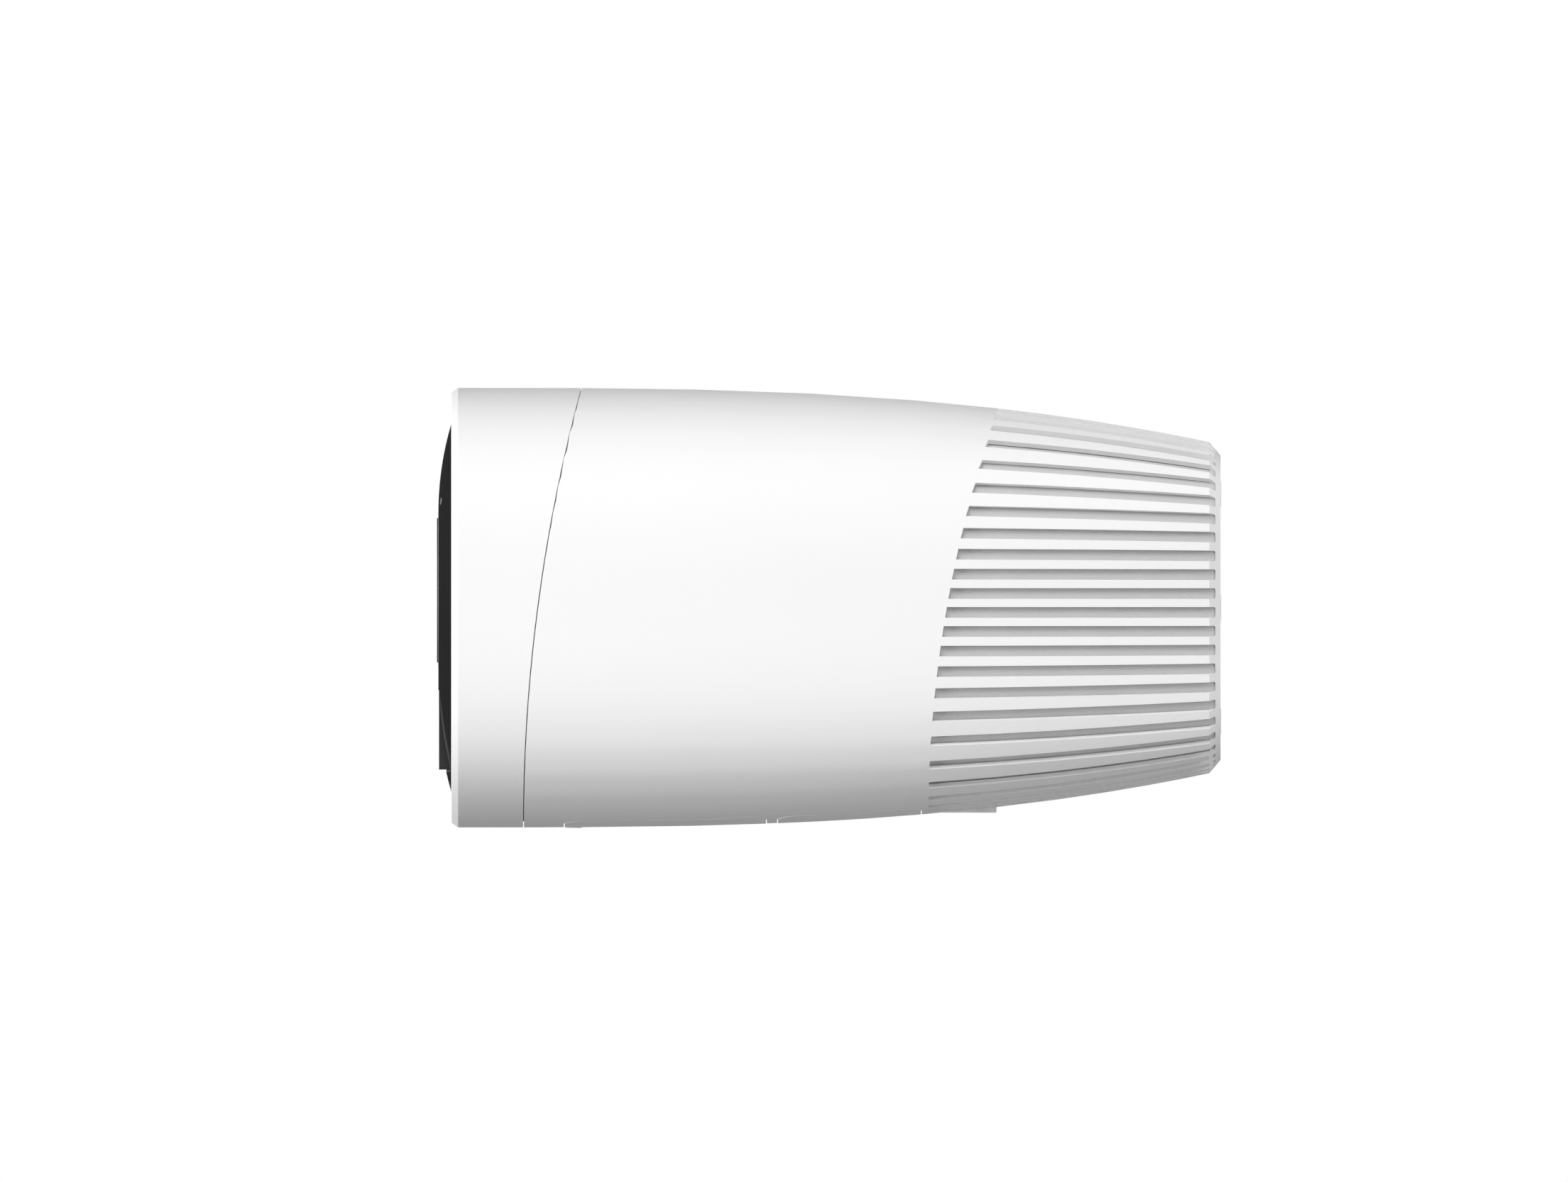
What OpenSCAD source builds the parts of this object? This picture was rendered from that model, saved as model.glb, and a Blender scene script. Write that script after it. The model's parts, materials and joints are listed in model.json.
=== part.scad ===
// Upright air purifier. Air enters through the slots round the foot, passes a drum filter
// and a centrifugal fan, and leaves through the domed top. The front faces -Y, the back
// +Y, and the origin is on the floor under the middle of the body.

/* [Body] */
// Width of the body between opposite flats, near the top
body_w = 240; // [216:1:288]
// Width of the body between opposite flats, just above the foot
foot_w = 180.8; // [176:0.1:216]
// Height of the flat rim round the domed top
rim_h = 420.3; // [380:0.1:504]
// Exponent of the rounded square that the foot follows, 2 for a circle
squareness = 3.7; // [3:0.1:4.4]
// Thickness of the moulded walls
wall = 3; // [2.4:0.1:3.6]
// Width of the visible joints between neighbouring mouldings
seam_gap = 0.5; // [0.4:0.1:0.8]

/* [Intake slots] */
// Number of slots round the foot, an odd number so that a rib is at the front
slot_count = 61; // [49:2:65]
// Width of one slot
slot_w = 5.8; // [4.8:0.1:6.6]
// Height of the slots' upper ends at the back, where they are tallest
slot_top_h = 160; // [146:1:166]
// Height of the slots' lower ends
slot_bottom_h = 3; // [2.6:0.1:3.6]

/* [Domed top] */
// Diameter of the dark dome
dome_d = 201; // [180:1:206]
// Diameter of the flat middle of the dome
dome_flat_d = 104; // [96:1:110]
// Radius of the dome's falling shoulder
shoulder_r = 170; // [150:1:200]
// Diameter of the round control disc
disc_d = 79; // [68:1:82]
// Distance that the disc is pushed down
disc_travel = 0.5; // [0.3:0.1:0.6]

/* [Rear covers] */
// Width of the service door and of the sensor cover
cover_w = 110; // [92:1:114]
// Height of the service door
door_h = 110; // [92:1:112]

/* [Filter and fan] */
// Diameter of the hole in the foot that the filter passes through
foot_hole_d = 154; // [150:1:156]
// Radial clearance of the filter in that hole
filter_clearance = 3; // [2:0.5:5]
// Outer diameter of the fan's wheel
fan_d = 140; // [116:1:150]
// Number of blades on the fan's wheel
blade_count = 11; // [7:2:15]
// Diameter of the motor's can
motor_d = 68; // [56:1:76]
// Diameter of the motor's shaft
shaft_d = 6; // [5:0.5:8]

/* [Hidden] */

$fn = 64;
eps = 0.01;
gap = 0.3;           // between neighbouring pieces
run_fit = 0.05;      // round the turning shaft
half_w = body_w / 2;
half_foot = foot_w / 2;

// Foot: a thin base plate, a chamfer round it and rubber pads under it.
foot_lift = 0.2;     // the pads hold the body this far off the floor
chamfer_h = 6.3;
chamfer_slope = 1.2; // outwards for each unit upwards
full_h = rim_h - 20.3; // the sides are upright above this height
taper_power = 2.8;

// The two slanting lines are arcs that are level at the back.
seam_back_h = rim_h - 39.2;
seam_r = 927;
slot_arc_r = 704;

rim_chamfer_h = 3.7;
rim_chamfer_in = 2.6;
plate_t = 3;
tongue_gap = (half_w - half_foot) / 74; // the more the side swells, the more room its tongue needs
tongue_t = 1.8;
tongue_h = 9;
ledge_h = rim_h - 9.3;
hole_r = dome_d / 2 + seam_gap;

dome_r = dome_d / 2;
flat_r = dome_flat_d / 2;
dome_t = 2.5;
dome_rise = shoulder_r - sqrt(pow(shoulder_r, 2) - pow(dome_r - flat_r, 2));
apex_h = rim_h + dome_rise;
disc_y = -9.5;
disc_proud = disc_travel + 0.25;
disc_t = 2.4;
disc_well_r = disc_d / 2 + gap;
light_ring_w = 2;
sensor_turn = 232.5; // direction of the light sensor from the dome's middle
sensor_spot = (dome_r - 27.4) * [cos(sensor_turn), sin(sensor_turn)];
hood_w = 82;
hood_y = [dome_r - 53.7, dome_r - 12.1];
hood_base_w = 108;
hood_base_y = [hood_y[0] - 1.8, hood_y[1] + 1.1];
hood_base_corner_r = 14;
hood_top_h = apex_h - 0.35;
snug = 0.04; // clearance of the saddle in the dome, which it is pressed into

bulkhead_h = slot_top_h + 1;
bulkhead_t = 3;
inlet_z = [slot_top_h - 37.5, slot_top_h + 0.5];
door_z = seam_back_h - 22.7 - door_h;
sensor_z = inlet_z[1] + 3.4; // the sensor cover fills the space between the inlet and the door
sensor_cover_h = door_z - 6.5 - sensor_z;
latch_z = seam_back_h - 15;
latch_size = [24, 4.6];
cover_corner_r = 9;
bay_depth = 20;

inlet_w = 40;
inlet_sunk = 0.7; // the inlet's flat face is this far in from the shell at the slots' tops
socket_z = slot_top_h - 18;
pin_pitch = 8.6;

filter_r = foot_hole_d / 2 - filter_clearance;
filter_bore_r = 42;
filter_z = 5.6;
cap_t = 4;
gasket_t = 4;
filter_top = bulkhead_h - gasket_t;

mouth_r = 48;
housing_r = min(88, fan_d / 2 + 18);
housing_t = 2.5;
housing_top = ledge_h - 2.5;
fan_z = bulkhead_h + 11;
blade_h = 41;
fan_r = fan_d / 2;
back_plate_z = fan_z + 2 + blade_h;
motor_z = back_plate_z + 6;
motor_h = 36;
motor_r = motor_d / 2;
bracket_t = 2.5;
motor_screw_r = 0.75 * motor_r;

lug_angle = 45;
lug_twist = 30;
lug_w = 14;
cover_z = 1;
cover_t = 3;
cup_r = 32;
cup_h = 16;
pad_circle_r = foot_hole_d / 2 - 15;

// ---- The rounded-square sections of the shell ----

// Radius of the foot's section in a direction, and the outward normal there.
function foot_radius(a) = half_foot / pow(pow(abs(cos(a)), squareness) + pow(abs(sin(a)), squareness),
                                          1 / squareness);
function foot_point(a) = foot_radius(a) * [cos(a), sin(a)];
function foot_slope(a) = [sign(cos(a)) * pow(abs(cos(a)), squareness - 1),
                          sign(sin(a)) * pow(abs(sin(a)), squareness - 1)];
function foot_normal(a) = foot_slope(a) / norm(foot_slope(a));

// Length along the foot's section against direction, so that slots can be spaced evenly.
arc_step = 1.5;
arc_steps = 360 / arc_step;
arc_table = [for (i = 0, s = 0; i <= arc_steps;
                  s = s + norm(foot_point((i + 1) * arc_step) - foot_point(i * arc_step)), i = i + 1)
             [s, i * arc_step]];
perimeter = arc_table[arc_steps][0];
function wrap(s) = s - perimeter * floor(s / perimeter);
function direction_at(s) = lookup(wrap(s), arc_table);

// Half the width between flats at a height: a chamfer, then a curve that swells upwards.
function swell(z) = half_w - (half_w - half_foot) * pow(max(0, full_h - z) / (full_h - chamfer_h), taper_power);
function half_at(z) = z < chamfer_h ? swell(chamfer_h) - chamfer_slope * (chamfer_h - z) : swell(z);

// A point on the shell, a distance along the foot's section, at a height, set in from the surface.
function shell_point(s, z, inset) =
    let (a = direction_at(s), p = foot_point(a) + (half_at(z) - half_foot - inset) * foot_normal(a))
    [p.x, p.y, z];
function arc_height(y, back_h, r) = back_h - r + sqrt(r * r - pow(min(r, half_w - y), 2));
// Height of an arc line where it meets the shell: y depends on the height, so it is worked out twice.
function line_height(s, back_h, r) =
    let (z1 = arc_height(shell_point(s, back_h, 0).y, back_h, r))
    arc_height(shell_point(s, z1, 0).y, back_h, r);
function seam_height(s) = line_height(s, seam_back_h, seam_r);
function mix(a, b, t) = a + (b - a) * t;
function ring_point(s, r, z) = let (a = direction_at(s)) [r * cos(a), r * sin(a), z];

// Closed ring skin through rows of points, each row going once round and the last joining the first.
function grid_faces(rows, cols, skip) =
    [for (i = [0:rows - 1]) for (j = [0:cols - 1]) if (!skip[i][j])
        let (i2 = (i + 1) % rows, j2 = (j + 1) % cols)
        each [[i * cols + j, i2 * cols + j, i2 * cols + j2], [i * cols + j, i2 * cols + j2, i * cols + j2]]];

// Ring whose rows are given as functions of the place along the section.
module ring_solid(rows) {
    n = len(rows[0]);
    no_skip = [for (r = rows) [for (j = [0:n - 1]) false]];
    polyhedron(points = [for (r = rows) each r], faces = grid_faces(len(rows), n, no_skip));
}

function even_places(n) = [for (j = [0:n - 1]) perimeter * j / n];

// Flat outline of the shell at a height.
module section(z, inset, n = 96) {
    polygon([for (s = even_places(n)) let (p = shell_point(s, z, inset)) [p.x, p.y]]);
}

module rounded_prism(w, z0, h, y0, y1, r) {
    translate([0, y1, z0 + h / 2])
        rotate([90, 0, 0])
            linear_extrude(y1 - y0)
                rounded_rect(w, h, r);
}

module rounded_rect(w, h, r) {
    square([w - 2 * r, h], center = true);
    square([w, h - 2 * r], center = true);
    for (x = [-1, 1], y = [-1, 1])
        translate([x * (w / 2 - r), y * (h / 2 - r)])
            circle(r);
}

module tube(r_out, r_in, z0, z1) {
    translate([0, 0, z0])
        difference() {
            cylinder(r = r_out, h = z1 - z0);
            translate([0, 0, -eps])
                cylinder(r = r_in, h = z1 - z0 + 2 * eps);
        }
}

module rod(r, z0, z1) {
    translate([0, 0, z0])
        cylinder(r = r, h = z1 - z0);
}

// Pan-headed screw with its head at the origin and its shank along -Z.
module screw(head_r, shank_r, length) {
    difference() {
        union() {
            cylinder(r = head_r, h = 1.8);
            translate([0, 0, -length])
                cylinder(r = shank_r, h = length + eps);
        }
        for (a = [0, 90])
            rotate([0, 0, a])
                translate([-head_r * 0.6, -0.35, 0.9])
                    cube([head_r * 1.2, 0.7, 1]);
    }
}

// ---- Main body ----

slot_pitch = perimeter / slot_count;
function slot_place(k) = perimeter / 4 + k * slot_pitch;
function bend_at(s) =
    let (a = foot_normal(direction_at(s - 1)), b = foot_normal(direction_at(s + 1)))
    asin(cross(a, b)) * PI / 180 / 2;
slot_bend = [for (k = [0:slot_count - 1]) bend_at(slot_place(k))];

// Four columns to a slot: its two edges, with its middle between them, and the rib's middle.
cols = 4 * slot_count;
function col_place(j, out) =
    let (k = floor(j / 4), c = j % 4, half_slot = slot_w / 2 / (1 + slot_bend[k] * max(0, out)))
    slot_place(k) + (c == 3 ? slot_pitch / 2 : (c - 1) * half_slot);

// Levels from the foot to the slots' tops, then from there to the seam under the top ring.
slot_levels = [0.1, 0.22, 0.37, 0.55, 0.77, 1];
upper_levels = [0.2, 0.45, 0.72, 1];
function level_heights(s) =
    let (top = line_height(s, slot_top_h, slot_arc_r), seam = seam_height(s) - seam_gap)
    concat([foot_lift, slot_bottom_h, chamfer_h], [for (t = slot_levels) mix(chamfer_h, top, t)],
           [for (t = upper_levels) mix(top, seam, t)]);
level_count = 3 + len(slot_levels) + len(upper_levels);
slot_first = 1;
slot_last = 2 + len(slot_levels);

col_heights = [for (j = [0:cols - 1]) level_heights(col_place(j, 0))];
function body_row(i, inset) =
    [for (j = [0:cols - 1]) let (z = col_heights[j][i])
        shell_point(col_place(j, half_at(z) - half_foot), z, inset)];

module shell_skin() {
    outer = [for (i = [0:level_count - 1]) body_row(i, 0)];
    inner = [for (i = [level_count - 1:-1:1]) body_row(i, wall)];
    hole = [for (z = [slot_bottom_h, foot_lift])
               [for (j = [0:cols - 1]) ring_point(col_place(j, 0), foot_hole_d / 2, z)]];
    rows = concat(outer, inner, hole);
    n = len(rows);
    // An outer level and the inner level behind it are the same distance from the seam.
    function inner_row(i) = 2 * level_count - 1 - i;
    function in_slot(i, j) = j % 4 < 2 && i >= slot_first && i < slot_last;
    skip = [for (i = [0:n - 1]) [for (j = [0:cols - 1])
               in_slot(i, j) || (i >= level_count && i < n - 2 && in_slot(inner_row(i) - 1, j))]];
    function wall_quad(a, b, c, d) = [[a, c, b], [a, d, c]];
    sides = [for (k = [0:slot_count - 1]) for (i = [slot_first:slot_last - 1])
        let (l = 4 * k, r = 4 * k + 2, o = i * cols, o2 = (i + 1) * cols,
             b = inner_row(i) * cols, b2 = inner_row(i + 1) * cols)
        each concat(wall_quad(o + l, b + l, b2 + l, o2 + l), wall_quad(o + r, o2 + r, b2 + r, b + r))];
    ends = [for (k = [0:slot_count - 1]) for (c = [4 * k, 4 * k + 1])
        let (o = slot_first * cols, b = inner_row(slot_first) * cols,
             o2 = slot_last * cols, b2 = inner_row(slot_last) * cols)
        each concat(wall_quad(o + c, o + c + 1, b + c + 1, b + c),
                    wall_quad(o2 + c, b2 + c, b2 + c + 1, o2 + c + 1))];
    polyhedron(points = [for (r = rows) each r], faces = concat(grid_faces(n, cols, skip), sides, ends));
}

module main_body() {
    color("white")
        difference() {
            shell_skin();
            rounded_prism(cover_w + 2 * seam_gap, door_z - seam_gap, door_h + 2 * seam_gap, 60, body_w,
                          cover_corner_r + seam_gap);
            rounded_prism(cover_w + 2 * seam_gap, sensor_z - seam_gap, sensor_cover_h + 2 * seam_gap, 60,
                          body_w, cover_corner_r + seam_gap);
            rounded_prism(latch_size.x + 2 * gap, latch_z - gap, latch_size.y + 2 * gap, 60, body_w, 2);
            rounded_prism(inlet_w + 2 * gap, inlet_z[0] - gap, inlet_z[1] - inlet_z[0] + 2 * gap, 60, body_w,
                          inlet_corner_r + gap);
            for (a = [0:90:270])
                rotate([0, 0, a + lug_angle + lug_twist])
                    translate([foot_hole_d / 2 - 2, -lug_w / 2 - 1, 0])
                        cube([5.8, lug_w + 2, slot_bottom_h + 1]);
        }
}

// ---- Top ring, dome and control ----

module top_ring() {
    places = even_places(128);
    function at_seam(inset, lower) = [for (s = places) shell_point(s, seam_height(s) - lower, inset)];
    function at_height(z, inset) = [for (s = places)
        let (p = shell_point(s, full_h, inset)) [p.x, p.y, z]];
    function between(t, inset) = [for (s = places)
        let (p = shell_point(s, mix(seam_height(s), rim_h - rim_chamfer_h, t), inset)) p];
    function at_ring(r, z) = [for (s = places) ring_point(s, r, z)];
    lip = wall + tongue_gap;
    color("white")
        ring_solid([at_seam(0, 0), between(0.5, 0), at_height(rim_h - rim_chamfer_h, 0),
                    at_height(rim_h, rim_chamfer_in), at_ring(hole_r, rim_h), at_ring(hole_r, ledge_h),
                    at_ring(hole_r - 6, ledge_h), at_ring(hole_r - 6, ledge_h - 2.5),
                    at_ring(hole_r + 2.5, ledge_h - 2.5), at_ring(hole_r + 2.5, rim_h - plate_t),
                    at_height(rim_h - plate_t, lip + tongue_t), at_seam(lip + tongue_t, tongue_h), at_seam(lip, tongue_h),
                    at_seam(lip, 0)]);
}

// Half section of the dome, solid, lowered by an amount: a flat middle and an arc shoulder.
module dome_profile(inset, lowest) {
    top = apex_h - inset;
    translate([0, lowest])
        square([flat_r, top - lowest]);
    intersection() {
        translate([flat_r, apex_h - shoulder_r])
            circle(shoulder_r - inset, $fn = 256);
        translate([flat_r - eps, lowest])
            square([dome_r - inset - flat_r + eps, top - lowest + 1]);
    }
}

module dome_solid(inset, lowest) {
    rotate_extrude($fn = 128)
        dome_profile(inset, lowest);
}

outlet_in_r = disc_well_r + light_ring_w + 4; // about the disc's middle
outlet_out_r = flat_r + 10; // about the dome's middle, where the shoulder has hardly begun to fall
outlet_pitch = 6;
outlet_slot_w = 3;
function turned(a, b) = let (d = abs(a - b) % 360) min(d, 360 - d);
outlet_angles = [for (a = [0:outlet_pitch:359])
    if (turned(a, 90) > 53 && turned(a, atan2(sensor_spot.y, sensor_spot.x)) > 5) a];

module at_hood(y, w, z0, z1, r) {
    translate([0, (y[0] + y[1]) / 2, z0])
        linear_extrude(z1 - z0)
            rounded_rect(w, y[1] - y[0], r);
}

module outlet_grille() {
    color([0.13, 0.13, 0.14])
        difference() {
            dome_solid(0, ledge_h);
            difference() {
                dome_solid(dome_t, ledge_h - 1);
                translate([0, disc_y, 0])
                    tube(disc_well_r + light_ring_w + gap + 2, disc_well_r - 6, ledge_h, apex_h);
            }
            translate([0, disc_y, 0])
                rod(disc_well_r, apex_h + disc_proud - disc_t - disc_travel - 1.25, apex_h + 1);
            translate([0, disc_y, 0])
                rod(disc_well_r - 5, ledge_h - 1, apex_h);
            translate([0, disc_y, 0])
                tube(disc_well_r + light_ring_w + 0.8, disc_well_r + 0.8, apex_h - 1.2, apex_h + 1);
            at_hood([hood_base_y[0] - snug, hood_base_y[1] + snug], hood_base_w + 2 * snug, ledge_h - 1,
                    apex_h + 1, hood_base_corner_r + snug);
            translate([sensor_spot.x, sensor_spot.y, 0])
                rod(2.2, ledge_h, apex_h + 1);
            intersection() {
                for (a = outlet_angles)
                    rotate([0, 0, a])
                        translate([outlet_in_r / 2, -outlet_slot_w / 2, apex_h - 12])
                            cube([outlet_out_r, outlet_slot_w, 14]);
                difference() {
                    rod(outlet_out_r, apex_h - 11, apex_h + 1);
                    translate([0, disc_y, 0])
                        rod(outlet_in_r, apex_h - 12, apex_h + 2);
                }
            }
        }
}

// Matte saddle round the hood, let into the dome and a little below its surface.
module hood_base() {
    color([0.2, 0.2, 0.21])
        intersection() {
            difference() {
                dome_solid(0.3, ledge_h + 0.5);
                dome_solid(dome_t + 0.3, ledge_h);
            }
            at_hood(hood_base_y, hood_base_w, ledge_h, apex_h + 1, hood_base_corner_r);
        }
}

module rear_hood() {
    color([0.24, 0.24, 0.25])
        difference() {
            at_hood(hood_y, hood_w, rim_h, hood_top_h, 3);
            dome_solid(0.25, ledge_h);
        }
}

module light_ring() {
    color([0.85, 0.87, 0.9])
        translate([0, disc_y, 0])
            tube(disc_well_r + light_ring_w + 0.8, disc_well_r + 0.8, apex_h - 1.2, apex_h + 0.1);
}

module light_sensor() {
    color([0.7, 0.72, 0.75])
        intersection() {
            translate([sensor_spot.x, sensor_spot.y, 0])
                rod(2, ledge_h, apex_h + 1);
            difference() {
                dome_solid(-0.2, ledge_h);
                dome_solid(dome_t, ledge_h - 1);
            }
        }
}

module control_disc() {
    color([0.06, 0.06, 0.07])
        translate([0, disc_y, 0]) {
            rod(disc_d / 2, apex_h + disc_proud - disc_t, apex_h + disc_proud);
            rod(14, apex_h - 6, apex_h + disc_proud - disc_t + eps);
        }
}

module disc_springs() {
    color("silver")
        for (a = [0:120:240])
            translate([0, disc_y, 0])
                rotate([0, 0, a])
                    translate([24, 0, 0])
                        tube(2.4, 1.6, apex_h - 9.4, apex_h + disc_proud - disc_t);
}

module control_board() {
    color([0.1, 0.35, 0.2])
        translate([0, disc_y, 0]) {
            rod(disc_well_r - 5.2, apex_h - 11, apex_h - 9.4);
            for (a = [0:60:300])
                rotate([0, 0, a])
                    translate([27, -2, apex_h - 13])
                        cube([4, 4, 2 + eps]);
            rod(5, apex_h - 9.4 - eps, apex_h - 6 - disc_travel - gap);
        }
}

// ---- Rear covers and what lies behind them ----

// Part of the shell's back wall, wide enough for a cover, as a smooth patch.
module back_patch(z0, z1, inset, thick) {
    n = 28;
    m = 8;
    first = perimeter / 4 - cover_w * 0.62;
    function at(i, j, d) = shell_point(first + j / n * cover_w * 1.24, mix(z0, z1, i / m), d);
    front = [for (i = [0:m]) for (j = [0:n]) at(i, j, inset)];
    back = [for (i = [0:m]) for (j = [0:n]) at(i, j, inset + thick)];
    w = n + 1;
    half = len(front);
    skins = [for (i = [0:m - 1]) for (j = [0:n - 1])
        let (a = i * w + j, b = a + w)
        each [[a, b, b + 1], [a, b + 1, a + 1], [half + a, half + b + 1, half + b],
              [half + a, half + a + 1, half + b + 1]]];
    ends = [for (i = [0:m - 1]) for (j = [0, n])
        let (a = i * w + j, b = a + w, q = [[a, half + a, half + b], [a, half + b, b]])
        each j == 0 ? q : [for (f = q) [f[0], f[2], f[1]]]];
    rims = [for (j = [0:n - 1]) for (i = [0, m])
        let (a = i * w + j, b = a + 1, q = [[a, b, half + b], [a, half + b, half + a]])
        each i == 0 ? q : [for (f = q) [f[0], f[2], f[1]]]];
    polyhedron(points = concat(front, back), faces = concat(skins, ends, rims));
}

door_tab_h = 9.3;

module service_door() {
    color("white") {
        intersection() {
            back_patch(door_z - 2, door_z + door_h + 2, 0, wall);
            rounded_prism(cover_w, door_z, door_h, 60, body_w, cover_corner_r);
        }
        intersection() {
            back_patch(door_z + door_h - door_tab_h, door_z + door_h - 0.4, -0.35, wall);
            rounded_prism(44, door_z + door_h - door_tab_h, door_tab_h - 0.4, 60, body_w, 4);
        }
    }
}

latch_y = half_at(latch_z) - 0.6;

module door_latch() {
    color([0.93, 0.93, 0.93]) {
        rounded_prism(latch_size.x, latch_z, latch_size.y, latch_y - 7, latch_y, 1.7);
        rounded_prism(8, latch_z + 0.8, 3, latch_y - 12, latch_y - 7 + eps, 1.2);
    }
}

module latch_spring() {
    color("silver")
        translate([0, latch_y - 22, latch_z + 2.3])
            rotate([-90, 0, 0])
                tube(1.6, 1.1, 0, 8);
}

tray_y = half_at(door_z) - 28.7;
tray_w = cover_w - 6;

// Tray behind the service door, with a post on top that carries the latch's spring.
module electronics_tray() {
    color([0.85, 0.85, 0.86]) {
        difference() {
            rounded_prism(tray_w, door_z + 3, door_h - 6, tray_y, tray_y + bay_depth, 7);
            rounded_prism(tray_w - 4, door_z + 5, door_h - 10, tray_y + 2, tray_y + bay_depth + 1, 5);
        }
        translate([-5, latch_y - 25, door_z + door_h - 4])
            cube([10, 3, latch_z + 5 - door_z - door_h + 4]);
    }
}

board_y = tray_y + 5;

module power_board() {
    w = tray_w - 16;
    h = door_h - 26;
    color([0.12, 0.4, 0.22]) {
        rounded_prism(w, door_z + 13, h, board_y, board_y + 1.6, 2);
        translate([-w / 2 + 8, board_y + 1.5, door_z + 20])
            cube([26, 9, 22]);
        translate([w / 2 - 26, board_y + 1.5, door_z + 22])
            cube([18, 8, 14]);
        for (x = [-24, -10, 4])
            translate([x, board_y + 1.5, door_z + 66])
                rotate([-90, 0, 0])
                    cylinder(r = 5, h = 9);
    }
}

module board_screws() {
    w = tray_w - 16;
    color("silver")
        for (x = [-1, 1], z = [door_z + 17, door_z + door_h - 17])
            translate([x * (w / 2 - 5), board_y + 1.6, z])
                rotate([-90, 0, 0])
                    screw(2.6, 1.4, 4);
}

vent_z = sensor_z + sensor_cover_h / 2 + 1.2;

module sensor_cover() {
    color("white")
        difference() {
            intersection() {
                back_patch(sensor_z - 2, sensor_z + sensor_cover_h + 2, 0, wall);
                rounded_prism(cover_w, sensor_z, sensor_cover_h, 60, body_w, cover_corner_r);
            }
            for (ring = [[0, 1], [4, 6], [8, 12], [12, 18]], i = [0:ring[1] - 1])
                translate([ring[0] * cos(360 * i / ring[1]), half_w - 20,
                           vent_z + ring[0] * sin(360 * i / ring[1])])
                    rotate([-90, 0, 0])
                        cylinder(r = 0.9, h = 40, $fn = 24);
        }
}

module sensor_module() {
    color([0.2, 0.2, 0.22])
        difference() {
            translate([-26, tray_y + 1, vent_z - 19])
                cube([52, 15, 38]);
            for (x = [-12, 12])
                translate([x, tray_y + 8, vent_z])
                    rotate([-90, 0, 0])
                        cylinder(r = 7, h = 12);
        }
}

// ---- Mains inlet ----

inlet_y = half_at(slot_top_h) - inlet_sunk;
inlet_corner_r = 13.7;

module figure_eight(r) {
    square([pin_pitch, 2 * r - 1.4], center = true);
    for (x = [-1, 1])
        translate([x * pin_pitch / 2, 0])
            circle(r);
}

module along_y(y0, y1, z) {
    translate([0, y1, z])
        rotate([90, 0, 0])
            linear_extrude(y1 - y0)
                children();
}

module power_inlet() {
    mid = (inlet_z[0] + inlet_z[1]) / 2;
    color("white")
        difference() {
            along_y(inlet_y - 9, inlet_y, mid)
                rounded_rect(inlet_w, inlet_z[1] - inlet_z[0], inlet_corner_r);
            along_y(inlet_y - 10, inlet_y + 1, socket_z)
                figure_eight(5.2);
        }
}

module inlet_socket() {
    color([0.1, 0.1, 0.1])
        difference() {
            along_y(inlet_y - 15, inlet_y - 0.6, socket_z)
                figure_eight(5.1);
            along_y(inlet_y - 12.5, inlet_y, socket_z)
                figure_eight(4.1);
            for (x = [-1, 1])
                translate([x * pin_pitch / 2, inlet_y - 20, socket_z])
                    rotate([-90, 0, 0])
                        cylinder(r = 1.2, h = 10);
        }
}

module inlet_pins() {
    color("silver")
        for (x = [-1, 1])
            translate([x * pin_pitch / 2, inlet_y - 19, socket_z])
                rotate([-90, 0, 0])
                    cylinder(r = 1.2, h = 16);
}

// ---- Air path ----

sleeve_top = bulkhead_h - 0.5;

module prefilter_sleeve() {
    places = even_places(96);
    levels = [slot_bottom_h + gap, chamfer_h, 20, 45, 80, 120, sleeve_top];
    function row(z, inset) = [for (s = places) shell_point(s, z, inset)];
    color([0.8, 0.8, 0.8])
        difference() {
            ring_solid(concat([for (z = levels) row(z, wall + 0.6)],
                              [for (i = [len(levels) - 1:-1:0]) row(levels[i], wall + 1.6)]));
            rounded_prism(inlet_w + 1, inlet_z[0] - 0.5, inlet_z[1] - inlet_z[0] + 1, 60, body_w,
                          inlet_corner_r + 0.5);
        }
}

module bulkhead() {
    color([0.88, 0.88, 0.88]) {
        translate([0, 0, bulkhead_h])
            difference() {
                linear_extrude(bulkhead_t)
                    section(bulkhead_h, wall + gap);
                translate([0, 0, -1])
                    cylinder(r = mouth_r, h = bulkhead_t + 2);
            }
        tube(mouth_r + 2.5, mouth_r, bulkhead_h + bulkhead_t - eps, fan_z - 1.5);
    }
}

module intake_guard() {
    color([0.3, 0.3, 0.32]) {
        for (r = [12, 24, 36, mouth_r - gap])
            tube(r, r - 1.8, bulkhead_h, bulkhead_h + 2);
        for (a = [0:60:300])
            rotate([0, 0, a])
                translate([10.5, -1, bulkhead_h])
                    cube([mouth_r - 12, 2, 2]);
    }
}

module fan_housing() {
    color([0.82, 0.82, 0.83]) {
        tube(housing_r, housing_r - housing_t, bulkhead_h + bulkhead_t, housing_top);
        tube(housing_r - housing_t + eps, fan_r + 6, bulkhead_h + bulkhead_t, bulkhead_h + bulkhead_t + 2);
        difference() {
            tube(hole_r, housing_r - eps, housing_top - 2.5, housing_top);
            at_casing_screws(housing_top - 3)
                rod(1.7, 0, 4);
        }
    }
}

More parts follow.
